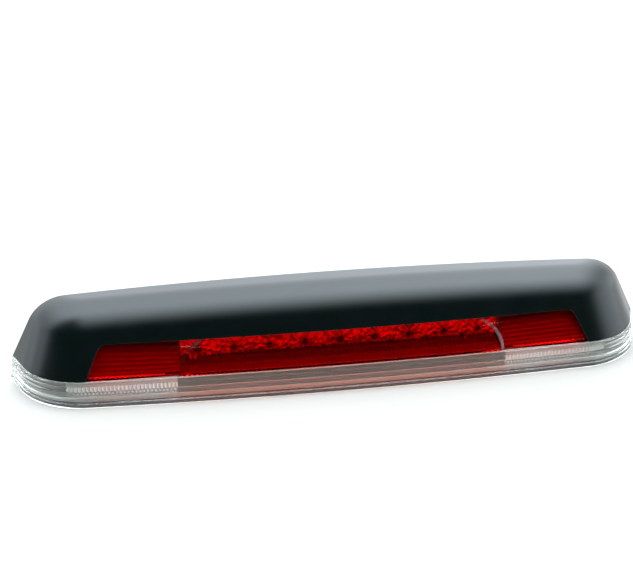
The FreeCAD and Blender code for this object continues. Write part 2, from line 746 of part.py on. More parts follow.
def make_cargo_reflector(side, x):
    """A metallised bowl, open below, and its two screws."""
    left, right = around(x, dim.bowl_half)
    outer = yz_prism("bowl_out_" + side, BOWL, left, right)
    inner = yz_prism("bowl_in_" + side, BOWL_IN, left + dim.bowl_wall, right - dim.bowl_wall)
    bores = [cyl("bowl_bore_" + side, 15.6, 4.0, x, -11.0, dim.cargo_z)]
    screws, z = [], dim.bowl_screw_z
    for n, screw_x in enumerate(around(x, dim.bowl_screw_x)):
        bores.append(cyl(f"bowl_hole_{side}{n}", dim.clearance_rad, 4.0, screw_x, -11.0, z))
        shank = cyl(f"rscrew_shank_{side}{n}", dim.screw_rad, 4.8, screw_x, -10.1, z)
        head = cone(f"rscrew_head_{side}{n}", 1.5, 1.95, 1.3, screw_x, -11.35, z)
        screws.append(fuse(f"rscrew_{side}{n}", [shank, head]))
    bowl = cut("bowl_hollow_" + side, outer, inner)
    bored = cut("bowl_" + side, bowl, group("bowl_bores_" + side, bores))
    finish(bored, "cargo_reflector_" + side)
    finish(group("rscrew_group_" + side, screws), "reflector_screws_" + side)


def make_cargo_optic(side, sign):
    """An insert inside the clear lens: a floor, and an upright wall behind the front band."""
    corner, near = dim.corner_rad, dim.refl_half + 2.0
    low, floor_top, wall_top = dim.lens_floor + 0.3, dim.lens_floor + 1.9, 16.8
    floor = common("optic_floor_" + side,
                   plan_pad("optic_plan_" + side, 7.0, corner - 6.5, low, floor_top),
                   box("optic_floor_box_" + side, mirrored(sign, near, Size(176.0)),
                       (-60.0, -15.6), (0.0, 20.0)))
    rim = cut("optic_rim_" + side,
              plan_pad("optic_rim_out_" + side, 6.2, corner - 5.7, low, wall_top),
              plan_pad("optic_rim_in_" + side, 8.0, corner - 7.5, 0.0, 20.0))
    front = common("optic_front_" + side, rim,
                   box("optic_front_box_" + side, mirrored(sign, near, Size(181.0)),
                       (-60.0, -32.0), (0.0, 20.0)))
    finish(fuse("optic_" + side, [floor, front]), "cargo_optic_" + side)


def make_socket(side, x):
    """A twist-lock socket with three lugs, and the ring seal under its flange."""
    z = dim.cargo_z
    solids = [
        cyl("sock_barrel_" + side, dim.cargo_hole - dim.socket_play, 12.6, x, -14.0, z),
        cyl("sock_flange_" + side, dim.flange_rad, 2.6, x, -1.5, z),
        box("sock_grip_" + side, around(x, 12.5), (1.0, 14.0), around(z, 3.6)),
        cyl("sock_hub_" + side, 7.4, 11.0, x, 1.0, z),
    ]
    for n in range(3):
        solids.append(radial_bar(f"lug_{side}{n}", 14.4, 2.0, 5.0, x, PLATE_FRONT_Y - 2.15, z,
                                 90 + 120 * n))
    voids = [
        box("sock_slot_" + side, around(x, 7.2), (-15.0, -4.6), around(z, 3.0)),
        cyl("sock_mouth_" + side, 7.0, 4.0, x, -15.0, z),
        cyl("sock_wireway_" + side, 3.3, 10.0, x, 5.0, z),
    ]
    whole = fuse("sock_whole_" + side, solids)
    finish(cut("sock_" + side, whole, group("sock_voids_" + side, voids)), "socket_" + side)
    ring = cyl("seal_out_" + side, dim.flange_rad - 0.4, 1.35, x, -2.93, z)
    bore = cyl("seal_in_" + side, 12.62, 5.0, x, -4.0, z)
    finish(cut("seal_" + side, ring, bore), "socket_seal_" + side)


def make_bulb(side, x):
    """A wedge-base bulb and the four contact strips on its base."""
    z, radius = dim.cargo_z, dim.bulb_rad
    tube_y, neck_y = -24.9, -14.5
    glass = fuse("glass_" + side, [
        cyl("glass_tube_" + side, radius, neck_y - tube_y, x, tube_y, z),
        ball("glass_tip_" + side, radius, x, tube_y, z),
        cone("glass_neck_" + side, radius, 2.2, 2.6, x, neck_y, z),
        box("glass_wedge_" + side, around(x, 5.4), (-13.6, -5.2), around(z, 1.25)),
    ])
    bound = box("bulb_zone_" + side, around(x, 20), (-50, -5.0), around(z, 20))
    finish(common("bulb_whole_" + side, glass, bound), "bulb_" + side)
    clips = []
    for low in (z + 1.35, z - 2.0):
        for offset in (-4.0, 2.0):
            clips.append(box(f"clip_{side}{len(clips)}", (x + offset, x + offset + 2.0),
                             (-11.7, -4.65), (low, low + 0.65)))
    finish(group("clip_group_" + side, clips), "contacts_" + side)


# ---------------------------------------------------------------- fasteners and back fittings
def make_housing_screws():
    """Cross-slotted screws through the plate into the hood's bosses."""
    screws = []
    seat, slot_y = PLATE_BACK_Y + GAP, (PLATE_BACK_Y + 1.1, PLATE_BACK_Y + 3.0)
    for n, (x, z) in enumerate(HOOD_SCREWS):
        shank = cyl(f"hscrew_shank{n}", dim.screw_rad, 11.0, x, -13.0, z)
        neck = cyl(f"hscrew_neck{n}", dim.screw_rad, 3.0, x, -4.0, z)
        head = cone(f"hscrew_head{n}", dim.head_rad, dim.head_rad - 0.7, 1.9, x, seat, z)
        slots = [box(f"hscrew_slot{n}", around(x, 2.0), slot_y, around(z, 0.4)),
                 box(f"hscrew_cross{n}", around(x, 0.4), slot_y, around(z, 2.0))]
        screws.append(cut(f"hscrew{n}", fuse(f"hscrew_raw{n}", [shank, neck, head]),
                          fuse(f"hscrew_slots{n}", slots)))
    finish(group("hscrew_group", screws), "housing_screws")


def make_studs():
    studs, z = [], dim.stud_z
    for side, sign in SIDES:
        x = dim.stud_x * sign
        studs.append(fuse("stud_" + side, [
            cyl("stud_shank_" + side, dim.stud_rad, dim.stud_out + 8.0, x, -8.0, z),
            cyl("stud_collar_" + side, dim.collar_rad, 5.0, x, PLATE_BACK_Y - 5.0, z),
            cyl("stud_head_" + side, 5.0, 2.2, x, -9.4, z),
            cone("stud_tip_" + side, dim.stud_rad, dim.stud_rad - 0.8, 1.0, x,
                 dim.stud_out - 0.05, z),
        ]))
    finish(group("stud_group", studs), "studs")


def make_vent_cap():
    x, z = dim.vent_x, dim.vent_z
    finish(fuse("vent", [
        cyl("vent_stem", 2.55, 5.0, x, -7.4, z),
        cyl("vent_barb", 3.1, 1.0, x, -7.4, z),
        cyl("vent_cap_disc", 6.0, 3.0, x, PLATE_BACK_Y + GAP, z),
    ]), "vent_cap")


def make_grommet():
    """A grooved plug in the plate, bored for the two board wires."""
    x, z = dim.lead_x, dim.lead_z
    whole = fuse("grommet_whole", [
        cyl("grommet_neck", 6.95, 3.6, x, -6.3, z),
        cyl("grommet_front", 8.8, 1.4, x, -7.45, z),
        cyl("grommet_rear", 8.8, 1.6, x, PLATE_BACK_Y + GAP, z),
        cone("grommet_tail", 6.2, 4.2, 4.0, x, -1.4, z),
    ])
    ways = [cyl(f"grommet_way{n}", dim.wire_rad + 0.03, 14.0, x + dim.lead_offset * sign,
                -9.0, z) for n, sign in enumerate((-1, 1))]
    finish(cut("grommet_cut", whole, fuse("grommet_ways", ways)), "cable_grommet")


# ---------------------------------------------------------------- harness
# The plug's six ways as y, z: three rows from the top, two to a row.
WAYS = [(dim.plug_y + dim.pin_pitch * (column - 0.5), dim.plug_z + dim.pin_pitch * row)
        for row in (1, 0, -1) for column in (0, 1)]
WIRE_BEND = 7.0
WIRE_START = dim.plug_x - 1.0
SOCKET_WIRE_Z = 1.35  # a socket's wires, above and below its axis
SOCKET_WIRE_Y = 5.4


def make_wire(name, route):
    """One insulated wire: straight runs with rounded corners, a round section along them."""
    points = [Vector(*[Size.of(c).value for c in point]) for point in route]
    edges, at = [], points[0]
    for before, corner, after in zip(points, points[1:], points[2:]):
        into, out = (corner - before).normalize(), (after - corner).normalize()
        half_turn = into.getAngle(out) / 2.0
        radius = WIRE_BEND
        back = radius * math.tan(half_turn)
        # A bend takes less than half of each run beside it, so neighbours never meet.
        room = 0.48 * min(corner.distanceToPoint(before), after.distanceToPoint(corner))
        if back > room:
            back = room
            radius = back / math.tan(half_turn)
        start, end = corner - into * back, corner + out * back
        centre = corner + (out - into).normalize() * (radius / math.cos(half_turn))
        middle = centre + (corner - centre).normalize() * radius
        edges.append(Part.LineSegment(at, start).toShape())
        edges.append(Part.Arc(start, middle, end).toShape())
        at = end
    edges.append(Part.LineSegment(at, points[-1]).toShape())
    direction = (points[1] - points[0]).normalize()
    ring = Part.Wire([Part.Circle(points[0], direction, dim.wire_rad.value).toShape()])
    obj = doc.addObject("Part::Feature", name)
    obj.Shape = Part.Wire(edges).makePipeShell([ring], True, False)
    return obj


def left_route(y, z, sign):
    """Up beside the plug and along to the left socket."""
    x, end_z = -dim.cargo_x, dim.cargo_z + SOCKET_WIRE_Z * sign
    rise_x, rise_z = 7.4 + 1.4 * sign, 30.4 + 1.4 * sign
    return [
        (WIRE_START, y, z), (rise_x, y, z), (rise_x, y, rise_z), (-34.0, y, rise_z - 0.6),
        (-80.0, y - 1.0, end_z + 1.2), (-118.0, y - 1.0, end_z + 0.5),
        (x, y, end_z), (x, SOCKET_WIRE_Y, end_z),
    ]


def board_route(y, z, sign):
    """Up to the grommet and forwards to the board's header."""
    x = dim.lead_x + dim.lead_offset * sign
    return [(WIRE_START, y, z), (x, y, z), (x, y, dim.lead_z), (x, BOARD_BACK + 3.0, dim.lead_z)]


def right_route(y, z, sign):
    """Along to the right socket."""
    x, end_z = dim.cargo_x, dim.cargo_z + SOCKET_WIRE_Z * sign
    return [
        (WIRE_START, y, z), (34.0, y, z), (76.0, y - 1.2, z + 4.0 + 0.6 * sign),
        (112.0, y - 1.0, end_z - 5.0), (x, y, end_z), (x, SOCKET_WIRE_Y, end_z),
    ]


def make_wires():
    """Each row of the plug feeds one pair of wires; a sign sets the two apart at the far end."""
    pairs = (("left", left_route, (1, -1)), ("board", board_route, (-1, 1)),
             ("right", right_route, (-1, 1)))
    for row, (end, route, signs) in enumerate(pairs):
        wires = []
        for column, sign in enumerate(signs):
            y, z = WAYS[2 * row + column]
            wires.append(make_wire(f"wire_{end}{column}", route(y, z, sign)))
        finish(group(f"wires_{end}_group", wires), "wires_" + end)


def make_sleeve():
    """A short tube round the wires beside the plug."""
    x, y, z = dim.plug_x + 1.5, dim.plug_y, dim.plug_z
    outer = cyl("sleeve_out", 6.2, 13.0, x, y, z, TO_X)
    inner = cyl("sleeve_in", 5.3, 20.0, x - 2.0, y, z, TO_X)
    finish(cut("sleeve_whole", outer, inner), "harness_sleeve")


def make_plug():
    """The connector's body with its latch arm, its terminals and its terminal lock."""
    x, y, z, length = dim.plug_x, dim.plug_y, dim.plug_z, dim.plug_length
    shell = fuse("plug_shell", [
        box("plug_body", (x - length, x), around(y, 6.0), around(z, 7.0)),
        box("plug_arm", (x - 18.0, x - 2.0), around(y, 2.6), (z + 8.4, z + 9.6)),
        box("plug_arm_root", (x - 18.0, x - 15.4), around(y, 2.6), (z + 6.8, z + 9.0)),
        box("plug_arm_tab", (x - 5.0, x - 2.0), around(y, 3.4), (z + 9.0, z + 10.4)),
    ])
    voids, terminals = [], []
    for n, (way_y, way_z) in enumerate(WAYS):
        voids.append(cyl(f"plug_way{n}", dim.wire_rad + 0.06, length + 2.0, x - length - 1.0,
                         way_y, way_z, TO_X))
        terminals.append(box(f"terminal{n}", (x - 22.0, x - 1.6), around(way_y, 0.9),
                             around(way_z, 0.35)))
    voids.append(box("plug_lock_way", (x - 11.0, x - 8.0), (y - 7.0, y - 4.9),
                     around(z, 4.5)))
    finish(cut("plug_cut", shell, group("plug_voids", voids)), "connector_plug")
    finish(group("terminal_group", terminals), "connector_terminals")
    finish(fuse("plug_lock_raw", [
        box("plug_lock_plate", (x - 10.9, x - 8.1), (y - 6.6, y - 5.0), around(z, 4.4)),
        box("plug_lock_rib", (x - 10.2, x - 8.8), (y - 7.2, y - 6.5), around(z, 3.0)),
    ]), "terminal_lock")


# ---------------------------------------------------------------- build
make_hood()
make_clear_lens()
make_red_lens()
for side, sign in SIDES:
    make_red_optic(side, sign)
make_brake_reflector()
make_board()
make_leds()
make_resistors()
make_driver()
make_header()
make_board_screws()
make_back_housing()
make_gasket()
for side, sign in SIDES:
    lamp_x = dim.cargo_x * sign
    make_cargo_reflector(side, lamp_x)
    make_cargo_optic(side, sign)
    make_socket(side, lamp_x)
    make_bulb(side, lamp_x)
make_housing_screws()
make_studs()
make_vent_cap()
make_grommet()
make_wires()
make_sleeve()
make_plug()

# From the level under the lens to the row frame, whose origin lies at the studs' height.
for part in PARTS:
    bind(part, "Placement.Base.z", -dim.stud_z)
doc.recompute()

# ---------------------------------------------------------------- validity and export
faults = []
for obj in doc.Objects:
    if any(state in ("Invalid", "Error") for state in obj.State):
        faults.append(f"{obj.Name} is {obj.State}")
for part in PARTS:
    if part.Shape.isNull() or not part.Shape.isValid() or not part.Shape.Solids:
        faults.append(f"{part.Label} has no valid shape")
if faults:
    raise SystemExit("\n".join(faults))
os.makedirs("parts", exist_ok=True)
for part in PARTS:
    part.Shape.exportStep(f"parts/{part.Label}.step")
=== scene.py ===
"""High-mounted brake lamp with a cargo lamp at each end.

It lies along x, with its front towards -y, its mounting face towards +y and z up. Lengths are
in mm with z = 0 at the underside of the lens; mm() turns them into metres in the CAD's frame.
"""
import math
import random
from collections import Counter

import bpy
import bmesh
import numpy as np
from mathutils import Matrix, Vector

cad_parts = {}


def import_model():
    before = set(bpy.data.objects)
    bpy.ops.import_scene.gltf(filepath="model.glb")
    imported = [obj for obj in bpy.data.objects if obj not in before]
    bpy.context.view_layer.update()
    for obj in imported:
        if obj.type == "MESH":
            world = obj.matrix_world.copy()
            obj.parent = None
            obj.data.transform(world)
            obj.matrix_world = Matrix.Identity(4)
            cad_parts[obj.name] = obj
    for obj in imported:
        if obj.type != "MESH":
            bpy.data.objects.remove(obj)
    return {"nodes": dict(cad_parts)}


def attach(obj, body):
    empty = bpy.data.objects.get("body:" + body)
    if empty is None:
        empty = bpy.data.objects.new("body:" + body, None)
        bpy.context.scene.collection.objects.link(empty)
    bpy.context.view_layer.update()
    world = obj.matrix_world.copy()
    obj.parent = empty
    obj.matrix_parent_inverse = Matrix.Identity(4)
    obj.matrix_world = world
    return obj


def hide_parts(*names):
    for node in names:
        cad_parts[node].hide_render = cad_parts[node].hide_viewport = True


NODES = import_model()["nodes"]
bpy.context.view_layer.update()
SIDES = (("left", -1), ("right", 1))
DROP = -30.0  # the underside of the lens, from the CAD's origin


def mm(x, y, z):
    return (x * 1e-3, y * 1e-3, (z + DROP) * 1e-3)


# ------------------------------------------------------------------ outer form
SIDE_SLOPE = 0.404  # x gained per unit of y along the side
HALF_WIDTH = 220.0  # at y = 0
FRONT_DEPTH = 55.0
FRONT_RADIUS = 3000.0
BACK = -2.0  # y of the back plane
LEDGE = 17.5  # height where the hood starts, above the clear lens band
WALL_INSET = 3.0  # of the hood's wall at the ledge
DRAFT = 0.4986  # inset gained per unit of height
DRAFT_LENGTH = math.sqrt(1 + DRAFT * DRAFT)
ROOF = 63.2
CROWN_RADIUS = 3900.0
ROLL = 27.0  # radius between wall and roof

WINDOW_TOP = 38.6
WINDOW_FOOT_HALF = 168.3
WINDOW_TOP_HALF = 158.0
WINDOW_RADIUS = 4.5


def half_outline(inset, corner_r, count):
    """Right half of the plan outline moved in by inset, from the middle of the front to the back.

    The front arc has count points, the corner count - 1 and the straight side 59.
    """
    norm = math.hypot(1.0, SIDE_SLOPE)
    cos_side, sin_side = 1 / norm, SIDE_SLOPE / norm
    front_r = FRONT_RADIUS - inset
    front_y = FRONT_RADIUS - FRONT_DEPTH
    side_x = HALF_WIDTH - inset
    # the side's forward direction, and its inward normal
    dir_x, dir_y, norm_x, norm_y = -sin_side, -cos_side, -cos_side, sin_side
    # slide the corner's centre along the side until the corner touches the front arc
    from_x, from_y = side_x + corner_r * norm_x, corner_r * norm_y - front_y
    dot = from_x * dir_x + from_y * dir_y
    reach = dot * dot - (from_x * from_x + from_y * from_y) + (front_r - corner_r) ** 2
    slide = -dot + math.sqrt(reach)
    corner_x = side_x + corner_r * norm_x + slide * dir_x
    corner_y = corner_r * norm_y + slide * dir_y
    side_touch = (side_x + slide * dir_x, slide * dir_y)
    stretch = front_r / (front_r - corner_r)
    front_touch = (corner_x * stretch, front_y + (corner_y - front_y) * stretch)

    angle = np.linspace(0, math.asin(front_touch[0] / front_r), count)
    front = np.stack([front_r * np.sin(angle), front_y - front_r * np.cos(angle)], 1)
    start = math.atan2(front_touch[1] - corner_y, front_touch[0] - corner_x)
    stop = math.atan2(side_touch[1] - corner_y, side_touch[0] - corner_x)
    angle = np.linspace(start, stop, count)[1:]
    corner = np.stack([corner_x + corner_r * np.cos(angle),
                       corner_y + corner_r * np.sin(angle)], 1)
    step = np.linspace(0, 1, 60)[1:, None]
    end = np.array([side_x + BACK * SIDE_SLOPE, BACK])
    side = np.array(side_touch) * (1 - step) + end * step
    points = np.concatenate([front, corner, side])
    if side_touch[1] > BACK:
        # the corner itself runs past the back plane: end the outline where it crosses
        first = int(np.argmax(points[:, 1] > BACK))
        before, after = points[first - 1], points[first]
        part = (BACK - before[1]) / (after[1] - before[1])
        points = np.concatenate([points[:first], [before * (1 - part) + after * part]])
    return points


def arc_lengths(points):
    return np.concatenate([[0], np.cumsum(np.hypot(*np.diff(points, axis=0).T))])


def points_along(points, distances):
    lengths = arc_lengths(points)
    return np.stack([np.interp(distances, lengths, points[:, k]) for k in (0, 1)], 1)


def length_at_x(points, x):
    return np.interp(x, points[:, 0], arc_lengths(points))


def y_at(points, x):
    return float(np.interp(x, points[:, 0], points[:, 1]))


def wall_corner(z):
    """Plan corner radius of the hood's wall."""
    return 46.0 - 8.0 * (z - LEDGE) / 48.5


def crown(x):
    return ROOF - x * x / (2 * CROWN_RADIUS)


def wall_inset(z, depth=0.0):
    return WALL_INSET + depth * DRAFT_LENGTH + DRAFT * (z - LEDGE)


def window_half(z):
    narrowing = (WINDOW_FOOT_HALF - WINDOW_TOP_HALF) / (WINDOW_TOP - LEDGE)
    return WINDOW_FOOT_HALF - narrowing * (z - LEDGE)


def smooth(value):
    value = np.clip(value, 0.0, 1.0)
    return value * value * (3 - 2 * value)


class WallDepths:
    """The y of surfaces parallel to the hood's wall, for any x, height and depth under it."""

    STEPS = np.array([0.3, 1.2, 2.0, 2.8, 3.6, 4.4, 5.6, 7.0])

    def __init__(self):
        self.outlines = {}

    def y(self, x, z, depth):
        key = round(z, 4)
        if key not in self.outlines:
            self.outlines[key] = [
                half_outline(wall_inset(z, step), wall_corner(z) - step, 160)
                for step in self.STEPS
            ]
        x = np.abs(np.asarray(x, float))
        ys = np.stack([np.interp(x, p[:, 0], p[:, 1]) for p in self.outlines[key]])
        depth = np.asarray(depth, float) * np.ones_like(x)
        low = np.clip(np.searchsorted(self.STEPS, depth) - 1, 0, len(self.STEPS) - 2)
        part = (depth - self.STEPS[low]) / (self.STEPS[low + 1] - self.STEPS[low])
        column = np.arange(len(x))
        return ys[low, column] * (1 - part) + ys[low + 1, column] * part


WALL = WallDepths()


def wall_y(x, z, depth):
    return float(WALL.y([x], z, depth)[0])


# ------------------------------------------------------------------ mesh helpers
def link_object(name, mesh):
    ob = bpy.data.objects.new(name, mesh)
    bpy.context.scene.collection.objects.link(ob)
    return ob


def raw_object(name, verts, faces):
    mesh = bpy.data.meshes.new(name)
    mesh.from_pydata([mm(*v) for v in verts], [], faces)
    return link_object(name, mesh)


def tidy(bm):
    bmesh.ops.remove_doubles(bm, verts=bm.verts, dist=2e-6)
    bmesh.ops.dissolve_degenerate(bm, dist=1e-7, edges=bm.edges)
    bmesh.ops.recalc_face_normals(bm, faces=bm.faces)


def new_object(name, verts, faces, smooth_angle=32.0):
    ob = raw_object(name, verts, faces)
    bm = bmesh.new()
    bm.from_mesh(ob.data)
    tidy(bm)
    bm.to_mesh(ob.data)
    bm.free()
    shade(ob, smooth_angle)
    return ob


def shade(ob, angle):
    """Smooth faces, with open edges and edges of at least angle degrees kept sharp."""
    bm = bmesh.new()
    bm.from_mesh(ob.data)
    limit = math.radians(angle)
    for face in bm.faces:
        face.smooth = True
    for edge in bm.edges:
        edge.smooth = len(edge.link_faces) == 2 and edge.calc_face_angle(0.0) < limit
    bm.to_mesh(ob.data)
    bm.free()


def apply_modifier(ob, kind, **settings):
    modifier = ob.modifiers.new(kind, kind)
    for setting, value in settings.items():
        setattr(modifier, setting, value)
    depsgraph = bpy.context.evaluated_depsgraph_get()
    mesh = bpy.data.meshes.new_from_object(ob.evaluated_get(depsgraph))
    ob.modifiers.clear()
    ob.data = mesh


def bevel(ob, width, segments, angle):
    apply_modifier(ob, "BEVEL", width=width * 1e-3, segments=segments, limit_method="ANGLE",
                   angle_limit=math.radians(angle), harden_normals=False,
                   use_clamp_overlap=True)
    shade(ob, 38.0)


def box(x0, x1, y0, y1, z0, z1):
    verts = [(x, y, z) for x in (x0, x1) for y in (y0, y1) for z in (z0, z1)]
    faces = [(0, 1, 3, 2), (4, 6, 7, 5), (0, 4, 5, 1), (2, 3, 7, 6), (0, 2, 6, 4), (1, 5, 7, 3)]
    return verts, faces


def grid_faces(rows, cols, base=0, flip=False):
    faces = []
    for r in range(rows - 1):
        for c in range(cols - 1):
            first = base + r * cols + c
            quad = (first, first + 1, first + cols + 1, first + cols)
            faces.append(quad[::-1] if flip else quad)
    return faces


def closed_sheet(front, back):
    """Two equal grids of points, joined round their rims."""
    rows, cols = len(front), len(front[0])
    verts = [v for row in front for v in row] + [v for row in back for v in row]
    base = rows * cols
    faces = grid_faces(rows, cols) + grid_faces(rows, cols, base, True)
    rim = list(range(cols))
    rim += [r * cols + cols - 1 for r in range(1, rows)]
    rim += [(rows - 1) * cols + c for c in reversed(range(cols - 1))]
    rim += [r * cols for r in reversed(range(1, rows - 1))]
    for a, b in zip(rim, rim[1:] + rim[:1]):
        faces.append((a, b, b + base, a + base))
    return verts, faces


def turned_faces(steps, count):
    """Faces between neighbouring copies of a profile of count points, all the way round."""
    faces = []
    for k in range(steps):
        here, following = k * count, (k + 1) % steps * count
        for j in range(count - 1):
            faces.append((here + j, here + j + 1, following + j + 1, following + j))
    return faces


def lathe(profile, steps, centre):
    """Turns a profile of (radius, distance in y) round the y axis through a centre."""
    verts = []
    for k in range(steps):
        angle = 2 * math.pi * k / steps
        for radius, y in profile:
            verts.append((centre[0] + radius * math.cos(angle), centre[1] + y,
                          centre[2] + radius * math.sin(angle)))
    return verts, turned_faces(steps, len(profile))


class Build:
    """Collects several closed shapes into one piece."""

    def __init__(self):
        self.verts, self.faces = [], []

    def add(self, shape):
        verts, faces = shape
        base = len(self.verts)
        self.verts += verts
        self.faces += [tuple(i + base for i in face) for face in faces]
        return self

    def make(self, name, angle=32.0):
        return new_object(name, self.verts, self.faces, angle)


# ------------------------------------------------------------------ shader helpers
def feed(tree, node, inputs):
    """Sets a node's inputs; a socket is linked, anything else is a plain value."""
    for key, value in inputs.items():
        if isinstance(value, bpy.types.NodeSocket):
            tree.links.new(value, node.inputs[key])
        else:
            node.inputs[key].default_value = value


def add_node(tree, kind, inputs=None, **settings):
    node = tree.nodes.new("ShaderNode" + kind)
    for setting, value in settings.items():
        setattr(node, setting, value)
    feed(tree, node, inputs or {})
    return node


def new_material(name):
    material = bpy.data.materials.new(name)
    material.use_nodes = True
    tree = material.node_tree
    return material, tree, tree.nodes["Principled BSDF"]


def object_coords(tree, stretch=(1, 1, 1)):
    texture = add_node(tree, "TexCoord")
    inputs = {"Scale": stretch, "Vector": texture.outputs["Object"]}
    return add_node(tree, "Mapping", inputs).outputs["Vector"]


def noise(tree, vector, scale, detail=4.0, roughness=0.55):
    inputs = {"Scale": scale, "Detail": detail, "Roughness": roughness, "Vector": vector}
    return add_node(tree, "TexNoise", inputs).outputs["Fac"]


def remap(tree, value, to_min, to_max, from_min=0.3, from_max=0.7, **settings):
    inputs = {"From Min": from_min, "From Max": from_max,
              "To Min": to_min, "To Max": to_max, "Value": value}
    return add_node(tree, "MapRange", inputs, **settings).outputs["Result"]


def math_node(tree, operation, *operands):
    return add_node(tree, "Math", dict(enumerate(operands)), operation=operation).outputs[0]


def mix_colour(tree, factor, first, second):
    def opaque(value):
        return (*value, 1.0) if isinstance(value, tuple) else value

    # a Mix node's colour sockets are inputs 6 and 7 and output 2
    inputs = {0: factor, 6: opaque(first), 7: opaque(second)}
    return add_node(tree, "Mix", inputs, data_type="RGBA").outputs[2]


def scaled(colour, factor):
    return tuple(min(1.0, channel * factor) for channel in colour)


def bump(tree, shader, height, strength, distance):
    inputs = {"Strength": strength, "Distance": distance, "Height": height}
    feed(tree, shader, {"Normal": add_node(tree, "Bump", inputs).outputs["Normal"]})


def plastic(name, colour, *, vary, rough, rough_vary=0.06, grain=900.0, grain_strength=0.25,
            grain_depth=0.00008, edge=None, coat=0.0, specular=0.5, sheen=0.0):
    """Opaque plastic with cloudy colour and fine grain; edge is the colour of worn edges."""
    material, tree, shader = new_material(name)
    vector = object_coords(tree)
    clouds = remap(tree, noise(tree, vector, 25.0, detail=5.0), 0.0, 1.0)
    base = mix_colour(tree, clouds, scaled(colour, 1 - vary), scaled(colour, 1 + vary))
    if edge:
        pointiness = add_node(tree, "NewGeometry").outputs["Pointiness"]
        convex = remap(tree, pointiness, 0.0, 1.0, from_min=0.52, from_max=0.60)
        patches = remap(tree, noise(tree, vector, 120.0), 0.2, 1.0,
                        from_min=0.4, from_max=0.65)
        worn = math_node(tree, "MULTIPLY", convex, patches)
        base = mix_colour(tree, worn, base, edge)
    roughness = remap(tree, noise(tree, vector, 60.0, detail=5.0),
                      rough - rough_vary, rough + rough_vary)
    feed(tree, shader, {
        "Base Color": base, "Roughness": roughness, "Specular IOR Level": specular,
        "Coat Weight": coat, "Sheen Weight": sheen,
    })
    if grain_strength:
        fine = noise(tree, vector, grain, detail=3.0, roughness=0.7)
        bump(tree, shader, fine, grain_strength, grain_depth)
    return material


def metal(name, colour, *, rough, rough_vary, stretch=(1, 1, 1), scratch=260.0, strength=0.12):
    """Metal with noise scratches, which stretch can draw out along an axis."""
    material, tree, shader = new_material(name)
    scratches = noise(tree, object_coords(tree, stretch), scratch, detail=5.0, roughness=0.6)
    clouds = remap(tree, noise(tree, object_coords(tree), 40.0), 0.0, 1.0)
    vary = 0.06
    feed(tree, shader, {
        "Base Color": mix_colour(tree, clouds, scaled(colour, 1 - vary),
                                 scaled(colour, 1 + vary)),
        "Metallic": 1.0,
        "Roughness": remap(tree, scratches, rough - rough_vary, rough + rough_vary),
    })
    bump(tree, shader, scratches, strength, distance=0.00005)
    return material


def clear(name, colour, *, rough, ior=1.49, wave=0.0, haze=0.0, through=None, middle=None):
    """A clear or tinted moulding with a little waviness and uneven roughness.

    through is the tint of light that passes to the pieces behind; middle is a painted tint round
    x = 0, a warm colour that stands in for red light from the red lens falling into the band.
    """
    material, tree, shader = new_material(name)
    vector = object_coords(tree)
    clouds = remap(tree, noise(tree, vector, 35.0), 0.0, 1.0)
    base = mix_colour(tree, clouds, scaled(colour, 1 - 0.02), colour)
    if middle:
        # painted light: round x = 0 the lens is tinted warm in place of red light from the red lens
        split = add_node(tree, "SeparateXYZ", {0: object_coords(tree)})
        from_centre = math_node(tree, "ABSOLUTE", split.outputs[0])
        painted_red_glow_mask = remap(tree, from_centre, 1.0, 0.0, from_min=0.095, from_max=0.125)
        base = mix_colour(tree, painted_red_glow_mask, base, middle)
    roughness = remap(tree, noise(tree, vector, 150.0, detail=5.0),
                      max(0.0, rough - 0.01), rough + 0.015)
    feed(tree, shader, {"Base Color": base, "Transmission Weight": 1.0 - haze, "IOR": ior,
                        "Roughness": roughness})
    if through:
        shadow = add_node(tree, "LightPath").outputs["Is Shadow Ray"]
        passing = add_node(tree, "BsdfTransparent", {"Color": (*through, 1.0)})
        surface = add_node(tree, "MixShader",
                           {0: shadow, 1: shader.outputs[0], 2: passing.outputs[0]})
        feed(tree, tree.nodes["Material Output"], {"Surface": surface.outputs[0]})
    if wave:
        bump(tree, shader, noise(tree, vector, 90.0, detail=2.0), wave, distance=0.0001)
    return material


# ------------------------------------------------------------------ materials
def hood_plastic():
    material = plastic("hood_plastic", (0.0005, 0.0032, 0.0027), vary=0.10, rough=0.25,
                       rough_vary=0.02, grain=2600.0, grain_strength=0.02,
                       grain_depth=0.00003, edge=(0.003, 0.006, 0.0055))
    shader = material.node_tree.nodes["Principled BSDF"]
    feed(material.node_tree, shader, {"Specular Tint": (0.90, 1.0, 1.0, 1.0)})
    return material


def clear_optic():
    """Clear plastic that turns whitish on the crests of the flutes and pillows, as given by a mesh
    attribute: a painted highlight.
    """
    material = clear("clear_optic", (0.97, 0.98, 0.95), rough=0.05, wave=0.05, haze=0.06,
                     through=(0.85, 0.85, 0.85))
    tree = material.node_tree
    crest_highlight = add_node(tree, "Attribute", attribute_name="crest_highlight").outputs["Fac"]
    clearness = remap(tree, crest_highlight, 0.94, 0.10, from_min=0.0, from_max=1.0)
    feed(tree, tree.nodes["Principled BSDF"], {"Transmission Weight": clearness})
    return material


def wire_plastic(name, colour):
    return plastic(name, colour, vary=0.1, rough=0.45, grain=700.0, grain_strength=0.1)


